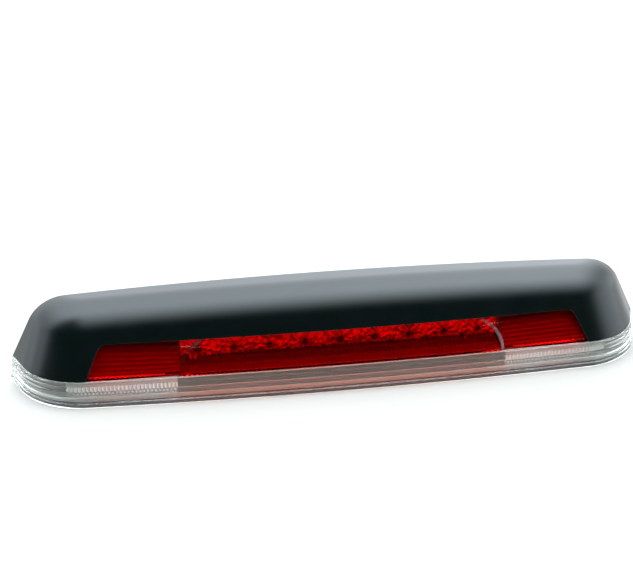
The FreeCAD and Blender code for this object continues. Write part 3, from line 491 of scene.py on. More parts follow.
MATERIALS = {
    "hood": hood_plastic(),
    "housing": plastic("housing_plastic", (0.026, 0.0265, 0.028), vary=0.14, rough=0.50,
                       rough_vary=0.07, grain=1400.0, grain_strength=0.3,
                       edge=(0.05, 0.05, 0.052)),
    # the warm middle colour of the clear lens is painted red light from the red lens
    "clear": clear("clear_lens", (0.94, 0.975, 0.94), rough=0.012, wave=0.05, haze=0.042,
                   through=(0.94, 0.94, 0.94), middle=(0.96, 0.85, 0.76)),
    "optic": clear_optic(),
    "red": clear("red_lens", (0.97, 0.009, 0.008), rough=0.015, wave=0.04,
                 through=(0.90, 0.02, 0.02)),
    "red_panel": plastic("red_panel", (0.148, 0.005, 0.005), vary=0.06, rough=0.40,
                         rough_vary=0.04, grain=600.0, grain_strength=0.05, specular=0.6),
    "metallised": metal("metallised", (0.90, 0.90, 0.91), rough=0.09, rough_vary=0.03,
                        scratch=120.0, strength=0.05),
    "facets": metal("metallised_facets", (0.98, 0.98, 0.98), rough=0.27, rough_vary=0.04,
                    scratch=120.0, strength=0.03),
    # the reddish tint of the sill and frame is painted red light from the red lens falling on them
    "sill": plastic("reflector_sill", (0.13, 0.09, 0.09), vary=0.12, rough=0.30,
                    rough_vary=0.05, grain=600.0, grain_strength=0.1),
    "board": plastic("board_mask", (0.010, 0.075, 0.028), vary=0.2, rough=0.30,
                     rough_vary=0.05, grain=300.0, grain_strength=0.1, coat=0.3),
    "led": plastic("led_package", (0.78, 0.70, 0.42), vary=0.08, rough=0.25,
                   rough_vary=0.05, grain=500.0, grain_strength=0.05),
    "led_dome": plastic("led_dome", (0.16, 0.03, 0.02), vary=0.1, rough=0.12,
                        rough_vary=0.03, grain_strength=0.0, coat=0.6),
    "component": plastic("component_body", (0.012, 0.012, 0.013), vary=0.1, rough=0.35,
                         rough_vary=0.05),
    "connector": plastic("connector_plastic", (0.016, 0.0165, 0.018), vary=0.12, rough=0.36,
                         grain=1000.0, grain_strength=0.2, edge=(0.05, 0.05, 0.053)),
    "socket": plastic("socket_plastic", (0.040, 0.041, 0.045), vary=0.12, rough=0.40,
                      edge=(0.10, 0.10, 0.105)),
    "steel": metal("zinc_steel", (0.60, 0.60, 0.58), rough=0.30, rough_vary=0.08,
                   stretch=(1, 0.15, 1), scratch=420.0),
    "brass": metal("tinned_brass", (0.78, 0.66, 0.42), rough=0.28, rough_vary=0.08),
    "bulb": clear("bulb_glass", (0.96, 0.97, 0.98), rough=0.004, ior=1.3),
    "rubber": plastic("seal_rubber", (0.010, 0.010, 0.011), vary=0.15, rough=0.72,
                      rough_vary=0.08, grain=1600.0, grain_strength=0.35, sheen=0.1),
    "foam": plastic("gasket_foam", (0.009, 0.009, 0.010), vary=0.25, rough=0.88,
                    grain=1900.0, grain_strength=0.9, grain_depth=0.00025, sheen=0.25),
    "wire_black": wire_plastic("wire_black", (0.014, 0.014, 0.015)),
    "wire_brown": wire_plastic("wire_brown", (0.07, 0.028, 0.012)),
    "wire_blue": wire_plastic("wire_blue", (0.012, 0.03, 0.12)),
    "sleeve": plastic("woven_sleeve", (0.02, 0.02, 0.021), vary=0.2, rough=0.8,
                      rough_vary=0.08, grain=1200.0, grain_strength=0.8,
                      grain_depth=0.0002, sheen=0.4),
    "lock": plastic("lock_plastic", (0.62, 0.20, 0.02), vary=0.08, rough=0.36,
                    rough_vary=0.05),
}


def give(ob, material):
    ob.data.materials.clear()
    ob.data.materials.append(material)


def piece(ob, material, replaces=(), body="lamp"):
    give(ob, MATERIALS[material])
    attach(ob, body)
    if replaces:
        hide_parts(*replaces)


# ------------------------------------------------------------------ hood
HOOD_THICKNESS = 2.5
MIDDLE_COLS = 64  # from the middle to the window's corner
END_COLS = 72  # from the window's edge round to the back
CORNER_STEPS = 4  # in each leg of the window's rounded corner
ROLL_STEPS = 18
ROOF_STEPS = 9
CORNER_LEGS = [WINDOW_RADIUS * j / CORNER_STEPS for j in range(CORNER_STEPS + 1)]


def hood_corner(inset, x, z, depth):
    """Plan corner radius: it follows the draft on the wall and closes like an offset above."""
    roll_foot = crown(x) - ROLL + ROLL * DRAFT / DRAFT_LENGTH
    if z <= roll_foot + 1e-6 and z <= 46.0:
        return wall_corner(z) - depth
    foot_inset = wall_inset(roll_foot, depth)
    return max(6.0, wall_corner(roll_foot) - depth - (inset - foot_inset))


def hood_row(depth, inset_at, height_at, edge):
    """Right half of one row of points; edge is the half width of the window there."""

    def outline(x):
        inset = inset_at(x)
        return half_outline(inset, hood_corner(inset, x, height_at(x), depth), 220)

    xs = [part * (edge - WINDOW_RADIUS) for part in np.linspace(0, 1, MIDDLE_COLS + 1)]
    xs += [edge - leg for leg in reversed(CORNER_LEGS)][1:]
    row = [(x, y_at(outline(x), x), height_at(x)) for x in xs]
    x = edge
    for k in range(END_COLS):
        # inset and height depend on x, so x is closed in on in three passes
        for _ in range(3):
            points = outline(x)
            lengths = arc_lengths(points)
            start = np.interp(edge, points[:, 0], lengths)
            distance = start + (lengths[-1] - start) * ((k + 1) / END_COLS)
            x, y = (float(np.interp(distance, lengths, points[:, c])) for c in (0, 1))
        row.append((x, y, height_at(x)))
    return row


def hood_roll_row(depth, step):
    """A row of the roll between wall and roof."""
    start = math.atan(DRAFT)
    angle = start + (math.pi / 2 - start) * step / ROLL_STEPS

    def inset_at(x):
        centre = wall_inset(crown(x) - ROLL) + ROLL * DRAFT_LENGTH
        return centre - (ROLL - depth) * math.cos(angle)

    def height_at(x):
        return crown(x) - ROLL + (ROLL - depth) * math.sin(angle)

    return hood_row(depth, inset_at, height_at, window_half(44.0 + 5.0 * step / ROLL_STEPS))


def hood_roof_rows(last, depth):
    """Straight rows from the last roll row to the back edge."""
    back_x = last[-1][0]
    steps = [math.dist(a[:2], b[:2]) for a, b in zip(last, last[1:])]
    lengths = np.concatenate([[0], np.cumsum(steps)])
    rows = []
    for r in range(1, ROOF_STEPS + 1):
        part = r / ROOF_STEPS
        row = []
        for (x, y, _), length in zip(last, lengths):
            to_x = back_x * (length / lengths[-1])
            x, y = x + (to_x - x) * part, y + (BACK - y) * part
            row.append((x, y, crown(x) - depth))
        rows.append(row)
    return rows


def hood_surface(depth):
    """One face of the hood's shell, depth under the outer one, with the window left open."""
    heights = list(np.linspace(LEDGE + 0.12, WINDOW_TOP - WINDOW_RADIUS, 13))
    heights += [WINDOW_TOP - leg for leg in reversed(CORNER_LEGS)][1:]
    top_row = len(heights) - 1
    heights += list(np.linspace(WINDOW_TOP, 41.6 - 0.3 * depth, 5))[1:]
    rows = [
        hood_row(depth, lambda x, z=z: wall_inset(z, depth), lambda x, z=z: z, window_half(z))
        for z in heights
    ]
    rows += [hood_roll_row(depth, step) for step in range(ROLL_STEPS + 1)]
    rows += hood_roof_rows(rows[-1], depth)

    middle = len(rows[0]) - 1
    cols = 2 * middle + 1
    edge_col = MIDDLE_COLS + CORNER_STEPS  # the window's edge, counted from the middle
    verts = []
    for row in rows:
        verts += [(-x, y, z) for x, y, z in reversed(row[1:])] + row
    faces = []
    for r in range(len(rows) - 1):
        for c in range(cols - 1):
            in_window = max(abs(c - middle), abs(c + 1 - middle)) <= edge_col
            if in_window and r < top_row:
                continue
            first = r * cols + c
            faces.append((first, first + 1, first + cols + 1, first + cols))

    # fill between the window's square upper corners and their rounding
    for side in (-1, 1):
        def index(row, col):
            return row * cols + middle + side * col

        square = [index(top_row - CORNER_STEPS + k, edge_col) for k in range(CORNER_STEPS)]
        square += [index(top_row, edge_col - k) for k in range(CORNER_STEPS + 1)]
        arc = [square[0]]
        for k in range(1, 2 * CORNER_STEPS):
            angle = (math.pi / 2) * k / (2 * CORNER_STEPS)
            z = WINDOW_TOP - WINDOW_RADIUS + WINDOW_RADIUS * math.sin(angle)
            x = window_half(z) - WINDOW_RADIUS + WINDOW_RADIUS * math.cos(angle)
            points = half_outline(wall_inset(z, depth), wall_corner(z) - depth, 220)
            verts.append((side * x, y_at(points, x), z))
            arc.append(len(verts) - 1)
        arc.append(square[-1])
        for k in range(2 * CORNER_STEPS):
            corners = dict.fromkeys([arc[k], arc[k + 1], square[k + 1], square[k]])
            faces.append(tuple(corners)[::side])
    return verts, faces


def on_hood_rim(edge):
    """Whether an edge is a sharp one of the window or of the hood's lower rim."""
    if len(edge.link_faces) != 2 or edge.calc_face_angle(0.0) < math.radians(50):
        return False
    centre = (edge.verts[0].co + edge.verts[1].co) / 2 * 1000
    z = centre.z - DROP
    window = abs(centre.x) < 169.5 and z < 39.5 and centre.y < -30
    lower_rim = z < LEDGE + 0.2 and centre.y < -6
    return window or lower_rim


def make_hood():
    outer, faces = hood_surface(0.0)
    inner, _ = hood_surface(HOOD_THICKNESS)
    base = len(outer)
    uses = Counter()
    for face in faces:
        for a, b in zip(face, face[1:] + face[:1]):
            uses[(min(a, b), max(a, b))] += 1
    shell = faces + [tuple(i + base for i in reversed(face)) for face in faces]
    shell += [
        (a, b, b + base, a + base)
        for (a, b), count in uses.items() if count == 1 and outer[a] != outer[b]
    ]
    ob = raw_object("hood_shell", outer + inner, shell)
    bm = bmesh.new()
    bm.from_mesh(ob.data)
    loose = [v for v in bm.verts if not v.link_faces]
    bmesh.ops.delete(bm, geom=loose, context="VERTS")
    tidy(bm)
    bmesh.ops.bevel(
        bm, geom=[edge for edge in bm.edges if on_hood_rim(edge)], offset=0.4e-3,
        offset_type="OFFSET", segments=3, profile=0.5, affect="EDGES", clamp_overlap=False)
    bm.to_mesh(ob.data)
    bm.free()
    shade(ob, 40.0)
    return ob


piece(make_hood(), "hood", ["hood"])


# ------------------------------------------------------------------ clear lens band
def ring_row(inset, z, corner_r, front_steps=70, corner_steps=40, side_steps=14):
    """A whole-width row of points on the plan outline, split at its tangent points."""
    count = 260
    points = half_outline(inset, corner_r, count)
    lengths = arc_lengths(points)
    front_end = lengths[count - 1]
    corner_end = lengths[2 * (count - 1)]
    distances = np.concatenate([
        np.linspace(0, front_end, front_steps + 1),
        np.linspace(front_end, corner_end, corner_steps + 1)[1:],
        np.linspace(corner_end, lengths[-1], side_steps + 1)[1:],
    ])
    right = [(float(x), float(y), z) for x, y in points_along(points, distances)]
    return [(-x, y, z) for x, y, z in reversed(right[1:])] + right


def arc_profile(inset, z, radius, start, stop, count, corner_r):
    return [
        (inset - radius * math.cos(math.radians(angle)),
         z + radius * math.sin(math.radians(angle)), corner_r)
        for angle in np.linspace(start, stop, count)
    ]


def bead(z0, z1, inset, proud, corner_r, count=7):
    """A shallow outward bulge between two heights."""
    return [
        (inset - proud * math.sin(math.pi * k / (count - 1)) ** 0.6,
         z0 + (z1 - z0) * (k / (count - 1)), corner_r)
        for k in range(count)
    ]


def make_clear_lens():
    corner = 50.0
    # each entry: inset, height, plan corner radius
    profile = [
        # bottom edge and rolled lip
        (1.0, 0.0, corner - 1.0),
        *arc_profile(0.95, 0.95, 0.95, -80, 0, 5, corner),
        *arc_profile(1.7, 1.6, 1.7, 0, 84, 9, corner - 0.6),
        (1.62, 3.32, corner - 1.2), (1.70, 3.6, corner - 1.3),
        # main band: four shallow beads with grooves between
        *bead(3.95, 7.1, 1.80, 0.42, corner - 1.3),
        (1.95, 7.3, corner - 1.5),
        *bead(7.5, 10.9, 1.90, 0.40, corner - 1.5),
        (2.25, 11.2, corner - 1.9),
        *bead(11.5, 14.3, 2.25, 0.36, corner - 1.9),
        (2.45, 14.6, corner - 2.1),
        *bead(14.9, 17.2, 2.45, 0.28, corner - 2.2, 5),
        (2.75, LEDGE, corner - 2.6),
        # top ledge, then down the inside
        (4.5, LEDGE, corner - 4.2), (4.85, 17.2, corner - 4.5), (4.9, 12.0, corner - 4.5),
        (4.9, 3.4, corner - 4.5), (5.2, 2.75, corner - 4.8), (5.9, 2.6, corner - 5.4),
    ]
    rows = [ring_row(*entry) for entry in profile]
    count, cols = len(rows), len(rows[0])
    faces = grid_faces(count, cols)
    # underside, inner floor and back
    faces.append(tuple(range(cols)))
    faces.append(tuple(reversed(range((count - 1) * cols, count * cols))))
    left_end = [r * cols for r in range(count)]
    right_end = [r * cols + cols - 1 for r in reversed(range(count))]
    faces.append(tuple(left_end + right_end))
    return new_object("lens_clear_moulding", [v for row in rows for v in row], faces, 28.0)


piece(make_clear_lens(), "clear", ["lens_clear"])


# ------------------------------------------------------------------ red lens
RED_LOW, RED_HIGH, RED_RADIUS = 17.56, 38.35, 4.25
RED_GAP = 0.25  # to the window's edge at each end
RED_HALF = WINDOW_FOOT_HALF - RED_GAP
RED_MIDDLE = 108.0  # half width of the middle part
RED_TAIL = 160.0  # beyond this x the columns close up to follow the edge
RED_BACK = 3.8  # depth of the inner face under the hood's wall
FLANGE_DEPTH = 2.65
FLANGE_STEPS = [0.02, 1.6, 3.3, 5.0]  # outwards from the pane's edge


def red_edge(z):
    """Half width of the red pane at height z, with its rounded upper corners."""
    width = window_half(z) - RED_GAP
    into_corner = z - (RED_HIGH - RED_RADIUS)
    if into_corner > 0:
        width -= RED_RADIUS - math.sqrt(max(0.0, RED_RADIUS ** 2 - into_corner ** 2))
    return width


def red_front(x, z):
    """Depth of the outer face: the middle is proud, the ends recessed, then flush again."""
    across = np.abs(x)
    falling = np.clip((across - 87.0) / 21.0, 0, 1)
    rising = 1 - np.clip((across - RED_MIDDLE) / 57.0, 0, 1)
    recessed = 0.8 + 1.8 * np.where(across > RED_MIDDLE, rising, falling)
    up = z - 17.6
    distance = np.where(across > 87.0, np.hypot(across - 87.0, up) - 21.0, up - 21.0)
    part = smooth((distance + 2.2) / 3.6)
    return 0.8 * (1 - part) + recessed * part


def red_back(x, z):
    """Depth of the inner face: pillows in the middle, ribs over one pillow row at the ends."""
    across = np.abs(x)
    low = smooth((31.0 - z) / 5.0)
    wave_x = np.abs(np.sin(np.pi * x / 3.0))
    wave_z = abs(math.sin(math.pi * (z - RED_LOW) / 4.0))
    middle = RED_BACK + (0.08 + 0.34 * low) * (wave_x * wave_z) ** 0.5
    row_height = 3.4
    if z < RED_LOW + row_height:
        wave_z = abs(math.sin(math.pi * (z - RED_LOW) / row_height))
        wave_x = np.abs(np.sin(np.pi * (across - RED_MIDDLE) / 3.2))
        end = RED_BACK + 0.5 * (wave_x * wave_z) ** 0.5
    else:
        rib = (z - RED_LOW - row_height) / 2.9
        end = RED_BACK + 0.06 * abs(math.sin(math.pi * rib)) ** 0.7
    return np.where(across > RED_MIDDLE, end, middle)


def red_columns(nominal, edge):
    """The nominal columns fitted to the pane's half width."""
    if edge < RED_TAIL:
        return nominal * (edge / RED_HALF)
    x = nominal.copy()
    tail = np.abs(x) > RED_TAIL
    stretch = (np.abs(x[tail]) - RED_TAIL) * (edge - RED_TAIL) / (RED_HALF - RED_TAIL)
    x[tail] = np.sign(x[tail]) * (RED_TAIL + stretch)
    return x


def make_red_lens():
    core = np.linspace(-RED_MIDDLE, RED_MIDDLE, 433)
    side = np.linspace(RED_MIDDLE, RED_TAIL, 118)[1:]
    tail = np.linspace(RED_TAIL, RED_HALF, 22)[1:]
    nominal = np.concatenate([-tail[::-1], -side[::-1], core, side, tail])
    heights = list(np.linspace(RED_LOW, RED_HIGH - RED_RADIUS, 64))
    heights += [RED_HIGH - RED_RADIUS * (1 - math.sin(angle))
                for angle in np.linspace(0, math.pi / 2, 13)[1:]]
    levels = [(z, False) for z in heights]
    levels += [(RED_HIGH + step, True) for step in FLANGE_STEPS]
    flange = len(FLANGE_STEPS)
    front, back = [], []
    for z, on_flange in levels:
        pane_z = min(z, RED_HIGH)
        edge = red_edge(pane_z)
        x = np.concatenate([
            [-(edge + step) for step in reversed(FLANGE_STEPS)],
            red_columns(nominal, edge),
            [edge + step for step in FLANGE_STEPS],
        ])
        faces = ((front, red_front, FLANGE_DEPTH), (back, red_back, RED_BACK))
        for rows, depth_of, flange_depth in faces:
            depth = depth_of(x, pane_z)
            depth[:flange] = flange_depth
            depth[-flange:] = flange_depth
            if on_flange:
                depth[:] = flange_depth
            rows.append([(a, b, z) for a, b in zip(x, WALL.y(x, z, depth))])
    return new_object("red_lens_pane", *closed_sheet(front, back), 30.0)


piece(make_red_lens(), "red", ["lens_red"])


# ------------------------------------------------------------------ ribbed panels behind the ends
def make_red_panel(side, sign):
    inner_x = 108.1
    foot = 18.2
    front, back = [], []
    for z in np.linspace(LEDGE, WINDOW_TOP, 117):
        xs = np.linspace(inner_x, min(170.4, window_half(z) + 4.0), 50)
        depth = 4.6 + 0.80 * abs(math.sin(math.pi * (z - foot) / 2.9)) ** 0.8
        # the upper edge falls a little towards the middle of the lamp
        fall = 2.6 * (1 - (xs - 109.0) / 57.0).clip(0, 1)
        zs = z - fall * (z - foot) / 20.4 + 0.6
        for rows, level in ((front, depth), (back, 6.3)):
            rows.append([(sign * x, wall_y(x, round(float(height), 2), level), height)
                         for x, height in zip(xs, zs)])
    return new_object("red_panel_" + side, *closed_sheet(front, back), 35.0)


for side, sign in SIDES:
    piece(make_red_panel(side, sign), "red_panel", ["red_optic_" + side])


# ------------------------------------------------------------------ brake reflector, nine faceted cups
CUP_COUNT = 9
CUP_PITCH = 23.7
CUP_HALF = CUP_PITCH / 2
CUP_Z = 24.6  # height of the LED holes
CUP_LOW, CUP_HIGH = 20.05, 40.6
CUP_BACK = -28.4
CUP_HOLE = 2.7
CUP_RINGS, CUP_SECTORS = 6, 28
CUP_CENTRES = [CUP_PITCH * (n - CUP_COUNT // 2) for n in range(CUP_COUNT)]


def cup_reach(cos, sin):
    """Distance from the hole's centre to the edge of the cup's cell along a direction."""
    return min(
        CUP_HALF / abs(cos) if abs(cos) > 1e-6 else 1e9,
        (CUP_HIGH - CUP_Z) / sin if sin > 1e-6 else 1e9,
        (CUP_Z - CUP_LOW) / -sin if sin < -1e-6 else 1e9,
    )


def cup_ring(centre_x, k, rnd):
    ring = []
    for sector in range(CUP_SECTORS):
        angle = 2 * math.pi * (sector + 0.5 * (k % 2)) / CUP_SECTORS
        cos, sin = math.cos(angle), math.sin(angle)
        part = (k / CUP_RINGS) ** 0.85
        radius = CUP_HOLE + (cup_reach(cos, sin) - CUP_HOLE) * part
        x, z = centre_x + radius * cos, CUP_Z + radius * sin
        y = CUP_BACK - 1.0 * (max(0.0, radius - CUP_HOLE) / 9.6) ** 1.2
        if 0 < k < CUP_RINGS:
            y += rnd.uniform(-0.28, 0.28)
        # stay behind the lens
        ring.append((x, max(y, wall_y(x, max(17.0, z), 5.0) + 0.25), z))
    return ring


def make_reflector():
    rnd = random.Random(7)
    verts, faces = [], []
    for centre_x in CUP_CENTRES:
        base = len(verts)
        for k in range(CUP_RINGS + 1):
            verts += cup_ring(centre_x, k, rnd)
        for k in range(CUP_RINGS):
            here, outer = base + k * CUP_SECTORS, base + (k + 1) * CUP_SECTORS
            for a in range(CUP_SECTORS):
                b = (a + 1) % CUP_SECTORS
                if k % 2 == 0:
                    faces += [(here + a, here + b, outer + a), (here + b, outer + b, outer + a)]
                else:
                    faces += [(here + a, here + b, outer + b), (here + a, outer + b, outer + a)]
    ob = raw_object("reflector_bowls", verts, faces)
    bm = bmesh.new()
    bm.from_mesh(ob.data)
    bmesh.ops.recalc_face_normals(bm, faces=bm.faces)
    bm.normal_update()
    # the faces look forwards, so that the thickness goes to the back
    if sum(face.normal.y for face in bm.faces) > 0:
        bmesh.ops.reverse_faces(bm, faces=bm.faces)
    bm.to_mesh(ob.data)
    bm.free()
    apply_modifier(ob, "SOLIDIFY", thickness=0.5e-3, offset=-1.0, use_even_offset=False)
    for polygon in ob.data.polygons:
        polygon.use_smooth = False
    return ob


piece(make_reflector(), "facets", ["brake_reflector"])

FRAME_FOOT = 16.0
FRAME_INNER, FRAME_OUTER = 106.8, 108.0


def make_reflector_frame():
    """An end wall on each side, cut to the lens's slope, and a strip over the cups."""
    build = Build()
    outline = [(wall_y(FRAME_OUTER, max(17.0, z), 4.6), z)
               for z in np.linspace(FRAME_FOOT, CUP_HIGH, 12)]
    outline += [(CUP_BACK, CUP_HIGH), (CUP_BACK, FRAME_FOOT)]
    count = len(outline)
    for sign in (-1, 1):
        verts = [(sign * x, y, z) for x in (106.9, FRAME_OUTER) for y, z in outline]
        faces = [tuple(range(count)), tuple(reversed(range(count, 2 * count)))]
        for i in range(count):
            following = (i + 1) % count
            faces.append((i, i + count, following + count, following))
        build.add((verts, faces))
    strip_foot = 40.65
    build.add(box(-FRAME_INNER, FRAME_INNER, wall_y(0.0, strip_foot, 5.2), CUP_BACK,
                  strip_foot, 41.0))
    return build.make("reflector_frame", 30.0)


def make_reflector_sill():
    """The sill below the cups, a section of five points swept along x."""
    sections = []
    for x in np.linspace(-FRAME_INNER, FRAME_INNER, 61):
        front = wall_y(x, 17.6, 4.8)
        sections.append([(x, front, FRAME_FOOT), (x, front + 0.4, 17.2), (x, -31.6, 20.2),
                         (x, -28.5, 20.35), (x, -28.5, FRAME_FOOT)])
    count, size = len(sections), len(sections[0])
    faces = grid_faces(count, size)
    for r in range(count - 1):
        here, following = r * size, (r + 1) * size
        faces.append((here + size - 1, here, following, following + size - 1))
    faces += [tuple(range(size)), tuple(reversed(range((count - 1) * size, count * size)))]
    return new_object("reflector_sill", [v for row in sections for v in row], faces, 30.0)


reflector_frame = make_reflector_frame()
piece(make_reflector_sill(), "sill")
piece(reflector_frame, "sill")

# ------------------------------------------------------------------ LEDs
BOARD_FRONT = -26.4


def make_led_packages():
    build = Build()
    half = 2.2
    seat = BOARD_FRONT - 0.05
    for x in CUP_CENTRES:
        build.add(box(x - half, x + half, BOARD_FRONT - 1.4, seat, CUP_Z - half, CUP_Z + half))
        for pad in (-2.5, half):
            build.add(box(x + pad, x + pad + 0.35, BOARD_FRONT - 0.5, seat,
                          CUP_Z - 1.1, CUP_Z + 1.1))
    ob = build.make("led_packages")
    bevel(ob, 0.15, 2, 40)
    return ob


def make_led_domes():
    build = Build()
    profile = [(0.0001, -1.9)]
    profile += [(1.8 * math.sin(a), -1.9 * math.cos(a)) for a in np.linspace(0.15, math.pi / 2, 9)]
    profile += [(1.95, 0.05), (0.0001, 0.05)]
    for x in CUP_CENTRES:
        build.add(lathe(profile, 28, (x, BOARD_FRONT - 1.45, CUP_Z)))
    return build.make("led_domes", 40.0)


piece(make_led_packages(), "led", ["leds"])
piece(make_led_domes(), "led_dome")

# ------------------------------------------------------------------ cargo lamp inserts
CARGO_INNER_X = 110.0
CARGO_OUTER_X = 181.0
CARGO_FOOT = 2.95
CARGO_COLS, CARGO_ROWS = 620, 54
CARGO_OUTLINE = half_outline(6.2, 44.3, 400)
CARGO_BACKLINE = half_outline(8.0, 42.5, 400)
CARGO_START = length_at_x(CARGO_OUTLINE, CARGO_INNER_X)
FLUTE_PITCH = 2.5
FLUTE_LEAN = 0.35  # run gained per unit of height
PILLOW_PITCH = 1.3
PILLOW_FOOT = 12.8


def flute_band(z):
    return smooth((z - 6.6) / 0.6) * smooth((12.4 - z) / 0.6)


def pillow_band(z):
    return smooth((z - PILLOW_FOOT) / 0.5)


def flute_wave(run, z):
    return np.abs(np.sin(np.pi * (run - (z - 6.0) * FLUTE_LEAN) / FLUTE_PITCH))


def pillow_wave(run, z):
    across = np.abs(np.sin(np.pi * run / PILLOW_PITCH))
    return across * np.abs(np.sin(np.pi * (z - PILLOW_FOOT) / PILLOW_PITCH))


def cargo_front(sign):
    """The upright part: slanted flutes on its front under rows of small pillows."""
    distances = np.linspace(CARGO_START, length_at_x(CARGO_OUTLINE, CARGO_OUTER_X),
                            CARGO_COLS + 1)
    outer = points_along(CARGO_OUTLINE, distances)
    inner = points_along(CARGO_BACKLINE, np.linspace(
        length_at_x(CARGO_BACKLINE, CARGO_INNER_X),
        length_at_x(CARGO_BACKLINE, CARGO_OUTER_X), CARGO_COLS + 1))
    inward = inner - outer
    inward /= np.hypot(*inward.T)[:, None]
    run = distances - CARGO_START
    front, back = [], []
    for z in np.linspace(CARGO_FOOT, 16.7, CARGO_ROWS + 1):
        flutes = 0.95 * flute_wave(run, z) ** 0.8 * flute_band(z)
        pillows = 0.40 * pillow_wave(run, z) ** 0.6 * pillow_band(z)
        depth = 0.95 - flutes - pillows
        front.append([(sign * x, y, z) for x, y in outer + inward * depth[:, None]])
        back.append([(sign * x, y, z) for x, y in inner])
    return closed_sheet(front, back)


def cargo_floor(sign):
    """The floor, with shallow pillows on top."""
    limit = half_outline(8.1, 42.4, 400)
    xs = np.linspace(CARGO_INNER_X, 176.0, 170)
    front_y = np.interp(xs, limit[:, 0], limit[:, 1])
    pitch = 3.2
    top, bottom = [], []
    for part in np.linspace(0, 1, 36):
        ys = front_y + (-15.7 - front_y) * part
        waves = np.abs(np.sin(np.pi * xs / pitch)) * np.abs(np.sin(np.pi * ys / pitch))
        heights = 4.2 + 0.28 * waves ** 0.5
        top.append([(sign * x, y, z) for x, y, z in zip(xs, ys, heights)])
        bottom.append([(sign * x, y, CARGO_FOOT) for x, y in zip(xs, ys)])
    return closed_sheet(top, bottom)


def make_cargo_optic(side, sign):
    """A thin clear insert behind the lens band."""
    build = Build().add(cargo_front(sign)).add(cargo_floor(sign))
    ob = build.make("cargo_flutes_" + side, 35.0)
    # how far each point stands up on a flute or pillow; the shader whitens these crests as a painted
    # highlight
    points = np.array([v.co[:] for v in ob.data.vertices]) * 1000
    run = length_at_x(CARGO_OUTLINE, np.abs(points[:, 0])) - CARGO_START
    z = points[:, 2] - DROP
    crest_highlight = (flute_wave(run, z) ** 3 * flute_band(z)
             + 0.5 * pillow_wave(run, z) ** 1.5 * pillow_band(z))
    crest_highlight = np.where(points[:, 1] < -33.0, crest_highlight, 0.0)
    attribute = ob.data.attributes.new("crest_highlight", "FLOAT", "POINT")
    attribute.data.foreach_set("value", crest_highlight.astype(np.float32))
    return ob


for side, sign in SIDES:
    piece(make_cargo_optic(side, sign), "optic", ["cargo_optic_" + side])

# ------------------------------------------------------------------ cargo lamp bulbs
BULB_X = 143.0
BULB_Z = 25.5
BULB_RADIUS = 6.1
FILAMENT_HALF = 2.0  # from the bulb's axis to each support
FILAMENT_Y = -22.0
COIL_TURNS, COIL_STEPS, COIL_SIDES = 9, 110, 6
COIL_RADIUS, COIL_WIRE = 0.38, 0.09


def make_bulb_glass(side, centre_x):
    profile = [(0.0001, -31.1)]
    profile += [(BULB_RADIUS * math.sin(a), -24.9 - BULB_RADIUS * math.cos(a) * 1.02)
                for a in np.linspace(0.12, math.pi / 2, 14)]
    profile += [(BULB_RADIUS, -20.0), (BULB_RADIUS, -15.6), (5.6, -14.4), (4.2, -13.2),
                (2.6, -12.4), (0.0001, -12.1)]
    glass = Build().add(lathe(profile, 40, (centre_x, 0, BULB_Z)))
    ob = glass.make("bulb_glass_" + side, 60.0)
    apply_modifier(ob, "SOLIDIFY", thickness=0.55e-3, offset=-1.0)
    shade(ob, 60.0)
    return ob


def make_bulb_wedge(side, centre_x):
    wedge = Build().add(box(centre_x - 5.3, centre_x + 5.3, -13.0, -5.2,
                            BULB_Z - 1.2, BULB_Z + 1.2))
    ob = wedge.make("bulb_wedge_" + side)
    bevel(ob, 0.35, 3, 40)
    return ob


def filament_coil(centre_x):
    """A thin tube along a coil between the two supports."""
    path = []
    for k in range(COIL_STEPS + 1):
        part = k / COIL_STEPS
        angle = 2 * math.pi * COIL_TURNS * part
        path.append((
            centre_x - FILAMENT_HALF + 2 * FILAMENT_HALF * part,
            FILAMENT_Y - 0.8 * math.sin(math.pi * part) + COIL_RADIUS * math.cos(angle),
            BULB_Z + COIL_RADIUS * math.sin(angle),
        ))
    rings = []
    for k, point in enumerate(path):
        before = Vector(path[max(0, k - 1)])
        after = Vector(path[min(COIL_STEPS, k + 1)])
        tangent = (after - before).normalized()
        across = tangent.orthogonal().normalized()
        upright = tangent.cross(across)
        ring = []
        for j in range(COIL_SIDES):
            angle = 2 * math.pi * j / COIL_SIDES
            offset = (across * math.cos(angle) + upright * math.sin(angle)) * COIL_WIRE
            ring.append(tuple(Vector(point) + offset))
        if rings:
            # start each ring at the point nearest to the start of the one before
            start = Vector(rings[-1][0])
            best = min(range(COIL_SIDES), key=lambda s: (Vector(ring[s]) - start).length)
            ring = ring[best:] + ring[:best]
        rings.append(ring)
    faces = []
    for k in range(COIL_STEPS):
        here, following = k * COIL_SIDES, (k + 1) * COIL_SIDES
        for a in range(COIL_SIDES):
            b = (a + 1) % COIL_SIDES
            faces.append((here + a, here + b, following + b, following + a))
    faces.append(tuple(reversed(range(COIL_SIDES))))
    faces.append(tuple(COIL_STEPS * COIL_SIDES + j for j in range(COIL_SIDES)))
    return [v for ring in rings for v in ring], faces


def make_filament(side, centre_x):
    build = Build()
    support = [(0.0001, FILAMENT_Y), (0.24, FILAMENT_Y), (0.24, -12.6), (0.0001, -12.6)]
    for offset in (-FILAMENT_HALF, FILAMENT_HALF):
        build.add(lathe(support, 10, (centre_x + offset, 0, BULB_Z)))
    build.add(filament_coil(centre_x))
    return build.make("bulb_filament_" + side, 60.0)


for side, sign in SIDES:
    body = side + "_socket"
    glass = make_bulb_glass(side, sign * BULB_X)
    wedge = make_bulb_wedge(side, sign * BULB_X)
    filament = make_filament(side, sign * BULB_X)
    piece(glass, "bulb", ["bulb_" + side], body)
    piece(wedge, "bulb", body=body)
    piece(filament, "steel", body=body)

